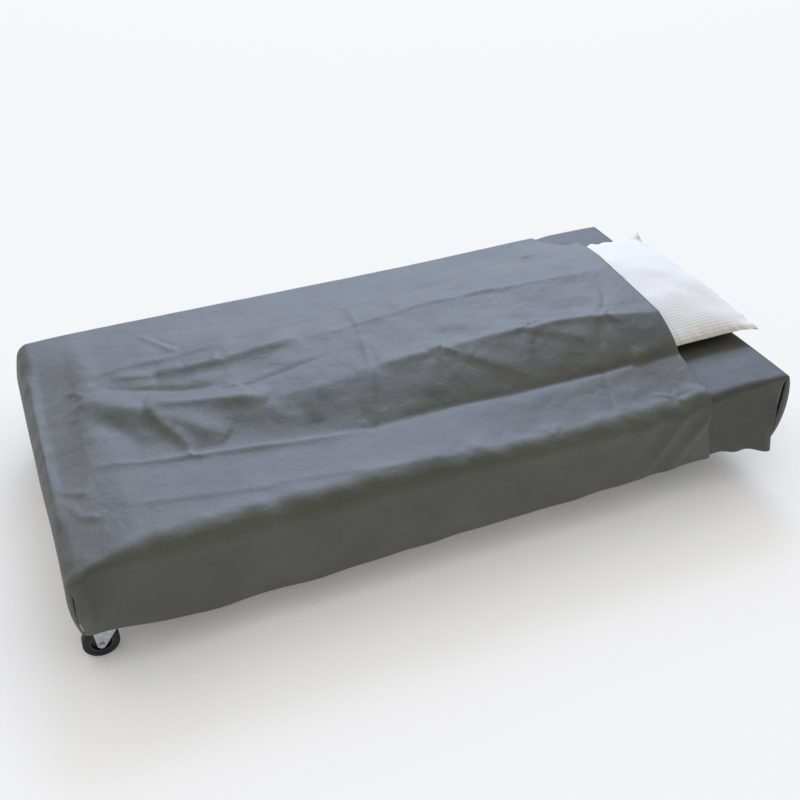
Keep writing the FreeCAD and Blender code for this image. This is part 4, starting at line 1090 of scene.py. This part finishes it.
@dataclass
class Pillow:
    """A stuffed pillow in its case: two cloths sewn together round the edge, with puckers at the seam.

    Attributes:
        columns: mesh points along its length.
        rows: mesh points along its depth.
        seam_rise: height of the seam above what the pillow lies on.
        crown: height of its middle.
        pinch: how far the middle of each edge draws in.
    """

    plan: Plan
    columns: int = 150
    rows: int = 106
    seam_rise: float = 0.036
    crown: float = 0.106
    pinch: float = 0.006

    def make(self) -> bpy.types.Object:
        """Builds the pillow and lays it in its place."""
        low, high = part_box("pillowcase")
        half_u, half_v = (high.y - low.y) / 2 + 0.007, (high.x - low.x) / 2 + 0.008
        us = np.sin(np.linspace(-math.pi / 2, math.pi / 2, self.columns))
        vs = np.sin(np.linspace(-math.pi / 2, math.pi / 2, self.rows))
        u, v = np.meshgrid(us, vs, indexing="ij")
        y = u * (half_u - self.pinch * (1 - v ** 4))
        x = v * (half_v - self.pinch * (1 - u ** 4))
        layers = [np.stack([x, y, self.height(u, v, x, y, side)], -1).reshape(-1, 3) for side in (1, -1)]
        places = np.concatenate(layers)
        places += np.array(((low.x + high.x) / 2, (low.y + high.y) / 2, low.z))
        places[:, 2] -= self.plan.sag(places[:, 0], places[:, 1])
        past = np.maximum(places[:, 0] - self.plan.head, 0.0)
        places[:, 2] -= 0.12 * past
        flat = np.stack([np.concatenate([x.ravel()] * 2), np.concatenate([y.ravel()] * 2)], -1)
        piece = make_object("pillow", places, self.faces(), flat)
        PILLOW_COTTON.dress(piece)
        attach(piece, ROOT)
        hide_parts("pillowcase", "pillow_insert")
        return piece

    def height(self, u: np.ndarray, v: np.ndarray, x: np.ndarray, y: np.ndarray, side: int) -> np.ndarray:
        """Height of the upper (side 1) or the lower (side -1) cloth."""
        dome = (1 - u ** 2) ** 0.74 * (1 - np.abs(v) ** 2.4) ** 0.56
        ears = (np.abs(u) * np.maximum(v, 0.0)) ** 10
        seam = self.seam_rise + (0.008 + 0.012 * u) * ears + 0.003 * waves(x, y, 41, 0.05, 0.25)
        inside = np.minimum((1 - np.abs(u)) * 0.30, (1 - np.abs(v)) * 0.21)
        near_seam = np.exp(-inside / 0.030) * np.clip(inside / 0.004, 0.0, 1.0)
        puckers = 0.0050 * near_seam * (waves(x, 0.25 * y, 42, 0.022, 0.07, lean=0.0, spread=0.5)
                                        * np.abs(u) ** 4
                                        + waves(0.25 * x, y, 43, 0.022, 0.07, lean=math.pi / 2, spread=0.5)
                                        * np.abs(v) ** 4)
        if side < 0:
            return (np.maximum(seam - (self.seam_rise + 0.004) * np.minimum(dome * 1.7, 1.0), 0.0005)
                    - 0.3 * puckers * dome)
        slack = 0.0016 * dome * waves(x, y, 44, 0.05, 0.22)
        return seam + (self.crown - self.seam_rise) * dome + puckers + slack

    def faces(self) -> list[tuple[int, int, int, int]]:
        """Faces of both cloths, and the narrow strip that joins them at the seam."""
        rows, count = self.rows, self.columns * self.rows
        made = []
        for i in range(self.columns - 1):
            for j in range(rows - 1):
                a, b, c, d = i * rows + j, (i + 1) * rows + j, (i + 1) * rows + j + 1, i * rows + j + 1
                made += [(a, d, c, b), (a + count, b + count, c + count, d + count)]
        ring = ([i * rows for i in range(self.columns)]
                + [(self.columns - 1) * rows + j for j in range(1, rows)]
                + [i * rows + rows - 1 for i in range(self.columns - 2, -1, -1)]
                + [j for j in range(rows - 2, 0, -1)])
        return made + [(a, b, b + count, a + count) for a, b in zip(ring, ring[1:] + ring[:1])]


def heights_above(piece: bpy.types.Object, base: float) -> Field:
    """Makes a field that gives how high a piece's upper side stands above a level.

    Args:
        piece: the piece that lies on the bed.
        base: the level, in metres.

    Returns:
        The field; it is zero where the piece isn't.
    """
    tree = BVHTree.FromObject(piece, bpy.context.evaluated_depsgraph_get())
    low, high = np.array(piece.bound_box).min(0), np.array(piece.bound_box).max(0)

    def field_at(x: np.ndarray, y: np.ndarray) -> np.ndarray:
        """Height of the piece's upper side at each place."""
        result = np.zeros(x.shape)
        near = (x > low[0]) & (x < high[0]) & (y > low[1]) & (y < high[1])
        for place in zip(*np.nonzero(near)):
            hit = tree.ray_cast(Vector((x[place], y[place], high[2] + 0.1)), Vector((0, 0, -1)))[0]
            if hit is not None:
                result[place] = max(hit.z - base, 0.0)
        return result

    return field_at


@dataclass
class QuiltPad:
    """The folded quilt under the blanket, sewn in channels across its width."""

    plan: Plan
    relief: GridField
    channel: float = 0.085
    step: float = 0.012

    def make(self) -> bpy.types.Object:
        """Builds the quilt as a closed pad just under the blanket."""
        low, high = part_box("quilt")
        xs = np.arange(low.x, high.x + 1e-6, self.step)
        ys = np.arange(low.y, high.y + 1e-6, self.step)
        x, y = np.meshgrid(xs, ys, indexing="ij")
        inside = np.minimum(np.minimum(x - xs[0], xs[-1] - x), np.minimum(y - ys[0], ys[-1] - y))
        rim = np.clip(inside / 0.03, 0.0, 1.0)
        puff = 0.004 * np.abs(np.sin((x - low.x) * math.pi / self.channel)) ** 0.6
        room = np.maximum(self.relief(x, y) - 0.010, 0.0005)
        upper = self.plan.top + 0.001 + np.minimum(room, 0.2) * np.sqrt(rim) - 0.004 * rim + puff * rim
        upper = np.maximum(upper, self.plan.top + 0.0012)
        lower = np.full_like(x, self.plan.top + 0.0008)
        count = x.size
        places = np.concatenate([np.stack([x, y, z], -1).reshape(-1, 3) for z in (upper, lower)])
        rows, columns = x.shape
        faces = []
        for i in range(rows - 1):
            for j in range(columns - 1):
                a, b = i * columns + j, (i + 1) * columns + j
                c, d = b + 1, a + 1
                faces.append((a, b, c, d))
                faces.append((a + count, d + count, c + count, b + count))
        rim_ring = ([(i, 0) for i in range(rows)] + [(rows - 1, j) for j in range(1, columns)]
                    + [(i, columns - 1) for i in range(rows - 2, -1, -1)]
                    + [(0, j) for j in range(columns - 2, 0, -1)])
        ring = [i * columns + j for i, j in rim_ring]
        for a, b in zip(ring, ring[1:] + ring[:1]):
            faces.append((b, a, a + count, b + count))
        piece = make_object("quilt_pad", places, faces, places[:, :2])
        QUILT_COTTON.dress(piece)
        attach(piece, ROOT)
        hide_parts("quilt")
        return piece


@dataclass
class Mattress:
    """The mattress: quilted panels, a border and a round piping along the edge of the lower panel."""

    plan: Plan
    soft: float = 0.030
    piping: float = 0.004
    step: float = 0.02
    diamond: float = 0.16

    def make(self) -> bpy.types.Object:
        """Builds the mattress body with its piping and its quilted panels."""
        low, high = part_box("mattress_ticking")
        body = self.body(low, high)
        cord = self.edge_piping("mattress_piping", low, high)
        cord.parent = body
        TICKING.dress(body)
        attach(body, ROOT)
        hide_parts("mattress_ticking", "mattress_core")
        return body

    def body(self, low: Vector, high: Vector) -> bpy.types.Object:
        """A block with soft edges whose panels are dimpled by their quilting."""
        mesh = bmesh.new()
        bmesh.ops.create_cube(mesh, size=1.0)
        size = high - low
        cuts = (int(size.x / self.step), int(size.y / self.step), 6)
        for axis, count in enumerate(cuts):
            edges = [edge for edge in mesh.edges
                     if abs((edge.verts[0].co - edge.verts[1].co)[axis]) > 1e-6]
            bmesh.ops.subdivide_edges(mesh, edges=edges, cuts=count, use_grid_fill=True)
        middle = (low + high) / 2
        half = size / 2 - Vector((0.0006,) * 3)
        points = np.array([[vertex.co[axis] * 2 * half[axis] for axis in range(3)] for vertex in mesh.verts])
        dimple = np.cos(np.pi * (points[:, 0] + points[:, 1]) / self.diamond) * np.cos(
            np.pi * (points[:, 0] - points[:, 1]) / self.diamond)
        quilted = np.abs(np.abs(points[:, 2]) - half.z) < 1e-4
        upper = points[:, 2] > 0
        points[:, 2] -= np.where(quilted, np.sign(points[:, 2]) * 0.0035 * (1 - np.abs(dimple) ** 0.5), 0.0)
        points[:, 2] = np.abs(points[:, 2])
        points += np.array((middle.x, 0.0, 0.0))
        points, _ = self.plan.soften(points, (middle.x - half.x, -half.y, 0.0),
                                     (middle.x + half.x, half.y, half.z))
        sag = (self.plan.sag(points[:, 0], points[:, 1])
               * (0.5 + 0.5 * np.clip(points[:, 2] / half.z, 0.0, 1.0)))
        points[:, 2] = np.where(upper, points[:, 2] - sag, -points[:, 2]) + middle.z
        for vertex, point in zip(mesh.verts, points):
            vertex.co = point
        data = bpy.data.meshes.new("mattress")
        mesh.to_mesh(data)
        mesh.free()
        data.polygons.foreach_set("use_smooth", np.ones(len(data.polygons), bool))
        body = bpy.data.objects.new("mattress", data)
        bpy.context.scene.collection.objects.link(body)
        return body

    def edge_piping(self, name: str, low: Vector, high: Vector) -> bpy.types.Object:
        """A round cord sewn along the edge of the lower panel, half way round the soft edge."""
        corner = 0.034
        inset = self.soft * (1 - math.sqrt(0.5))
        z = low.z + inset
        curve = bpy.data.curves.new(name, "CURVE")
        curve.dimensions = "3D"
        curve.bevel_depth = self.piping / 2
        spline = curve.splines.new("POLY")
        places = []
        for turn, (cx, cy) in enumerate(((high.x, high.y), (low.x, high.y), (low.x, low.y), (high.x, low.y))):
            centre = (cx - math.copysign(corner + inset, cx - (low.x + high.x) / 2),
                      cy - math.copysign(corner + inset, cy))
            for part in range(7):
                angle = math.pi / 2 * (turn + part / 6)
                places.append((centre[0] + corner * math.cos(angle), centre[1] + corner * math.sin(angle), z))
        spline.points.add(len(places) - 1)
        for point, place in zip(spline.points, places):
            point.co = (*place, 1.0)
        spline.use_cyclic_u = True
        shape = bpy.data.meshes.new_from_object(bpy.data.objects.new(name, curve))
        cord = bpy.data.objects.new(name, shape)
        bpy.context.scene.collection.objects.link(cord)
        CAP_NYLON.dress(cord)
        return cord


# ------------------------------------------------------------------ hard parts

@dataclass
class HardParts:
    """The steel, wood and plastic pieces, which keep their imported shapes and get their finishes."""

    finishes: tuple[tuple[str, Finish], ...] = (
        ("side_rail", FRAME_COAT), ("head_rail", FRAME_COAT), ("foot_rail", FRAME_COAT),
        ("cross_member", FRAME_COAT), ("caster_mounting_plates", FRAME_COAT), ("slats", SLAT_WOOD),
        ("slat_caps", CAP_NYLON), ("rail_end_caps", CAP_NYLON), ("rail_end_inserts", ZINC),
        ("frame_bolts", ZINC), ("caster_", ZINC), ("swivel_balls", ZINC), ("fork_", ZINC), ("axle_", ZINC),
        ("brake_pin", ZINC), ("brake_pedal", HUB_NYLON), ("wheel_hub", HUB_NYLON), ("tyre_", RUBBER),
    )

    def dress(self) -> int:
        """Gives every shown node the finish that its name starts with.

        Returns:
            How many nodes were dressed.
        """
        count = 0
        for name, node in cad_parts.items():
            if node.hide_render:
                continue
            finish = next((finish for start, finish in self.finishes if name.startswith(start)), None)
            if finish is None:
                raise ValueError(f"no finish for {name}")
            finish.dress(node)
            count += 1
        return count


# ------------------------------------------------------------------ studio

@dataclass
class Studio:
    """Pale floor, soft light and the camera."""

    middle: float
    camera_mm: tuple[float, float, float] = (-943.0, -2137.0, 1901.0)
    yaw: float = math.radians(20.78)
    pitch: float = math.radians(35.66)
    roll: float = math.radians(-0.92)
    lens: float = 44.35
    shift: tuple[float, float] = (0.0652, -0.0055)
    bright_side: tuple[float, float, float] = (0.0, 0.26, 0.96)
    dim: float = 0.16
    bright: float = 0.92
    warm: str = "fdf4e2"
    cool: str = "fbfaf4"
    daylight: float = 4.5
    daylight_tint: str = "c4d3fb"
    daylight_from: tuple[float, float, float] = (0.32, 0.74, 0.64)
    daylight_spread: float = 0.50
    floor_reach: float = 30.0
    sensor_mm: float = 36.0
    sight_limit: float = 100.0

    def make(self) -> None:
        """Builds the whole studio."""
        self.floor()
        self.camera()
        self.lights()

    def floor(self) -> None:
        """A wide level floor at zero."""
        reach = self.floor_reach
        corners = np.array([(-reach, -reach, 0), (reach, -reach, 0), (reach, reach, 0),
                            (-reach, reach, 0)], float)
        ground = make_object("studio_floor", corners, [(0, 1, 2, 3)])
        PaleFloor("matt_studio_floor_with_painted_light").dress(ground)

    def camera(self) -> None:
        """The camera, from its place, its aim and its roll."""
        data = bpy.data.cameras.new("camera")
        data.sensor_width = self.sensor_mm
        data.lens = self.lens
        data.shift_x, data.shift_y = self.shift
        data.clip_end = self.sight_limit
        viewer = bpy.data.objects.new("camera", data)
        bpy.context.scene.collection.objects.link(viewer)
        ahead = Vector((math.sin(self.yaw) * math.cos(self.pitch), math.cos(self.yaw) * math.cos(self.pitch),
                        -math.sin(self.pitch)))
        level = Vector((math.cos(self.yaw), -math.sin(self.yaw), 0.0))
        above = level.cross(ahead)
        right = level * math.cos(self.roll) + above * math.sin(self.roll)
        upward = above * math.cos(self.roll) - level * math.sin(self.roll)
        place = Vector(self.camera_mm) * MM + Vector((self.middle, 0, 0))
        turn = Matrix((right, upward, -ahead)).transposed().to_4x4()
        viewer.matrix_world = Matrix.Translation(place) @ turn
        bpy.context.scene.camera = viewer

    def lights(self) -> None:
        """A surround brighter overhead than at the horizon, and a large cool window on the far side."""
        world = bpy.data.worlds.new("surround")
        bpy.context.scene.world = world
        world.use_nodes = True
        tree = world.node_tree
        tree.nodes.clear()
        toward = add_node(tree, "ShaderNodeTexCoord").outputs["Generated"]
        facing = add_node(tree, "ShaderNodeVectorMath", {0: toward, 1: self.bright_side},
                          operation="DOT_PRODUCT")
        share = add_node(tree, "ShaderNodeMapRange", {"Value": facing.outputs["Value"], "From Min": -0.1,
                                                      "From Max": 1.0}, interpolation_type="SMOOTHSTEP")
        tint = add_node(tree, "ShaderNodeMix", {0: share.outputs[0], 6: linear(self.warm),
                                                7: linear(self.cool)}, data_type="RGBA")
        strength = add_node(tree, "ShaderNodeMapRange", {"Value": share.outputs[0], "To Min": self.dim,
                                                         "To Max": self.bright})
        surround = add_node(tree, "ShaderNodeBackground", {"Color": tint.outputs[2],
                                                           "Strength": strength.outputs[0]})
        output = add_node(tree, "ShaderNodeOutputWorld", {"Surface": surround.outputs[0]})
        output.is_active_output = True
        self.window_light()
        bpy.context.scene.view_settings.view_transform = "Standard"

    def window_light(self) -> None:
        """Cool daylight from the far side, as even as light from a large far window."""
        data = bpy.data.lights.new("daylight", "SUN")
        data.angle = self.daylight_spread
        data.energy = self.daylight
        data.color = linear(self.daylight_tint)[:3]
        lamp = bpy.data.objects.new("daylight", data)
        bpy.context.scene.collection.objects.link(lamp)
        lamp.rotation_mode = "QUATERNION"
        lamp.rotation_quaternion = (-Vector(self.daylight_from)).to_track_quat("-Z", "Y")


def main() -> None:
    """Builds the studio, then the bed from the inside out, and reports each piece."""
    logging.basicConfig(level=logging.INFO, format="%(message)s")
    plan = Plan()
    Studio(plan.middle).make()
    mattress = Mattress(plan).make()
    LOG.info("%s: %d faces", mattress.name, len(mattress.data.polygons))
    pillow = Pillow(plan).make()
    LOG.info("%s: %d faces", pillow.name, len(pillow.data.polygons))
    relief = GridField(*Relief(plan, pillow_top=heights_above(pillow, plan.top)).table())
    for part in (QuiltPad(plan, relief), FittedCover(plan), Blanket(plan, relief)):
        piece = part.make()
        LOG.info("%s: %d faces", piece.name, len(piece.data.polygons))
    LOG.info("%d hard parts dressed", HardParts().dress())


if __name__ == "__main__":
    main()
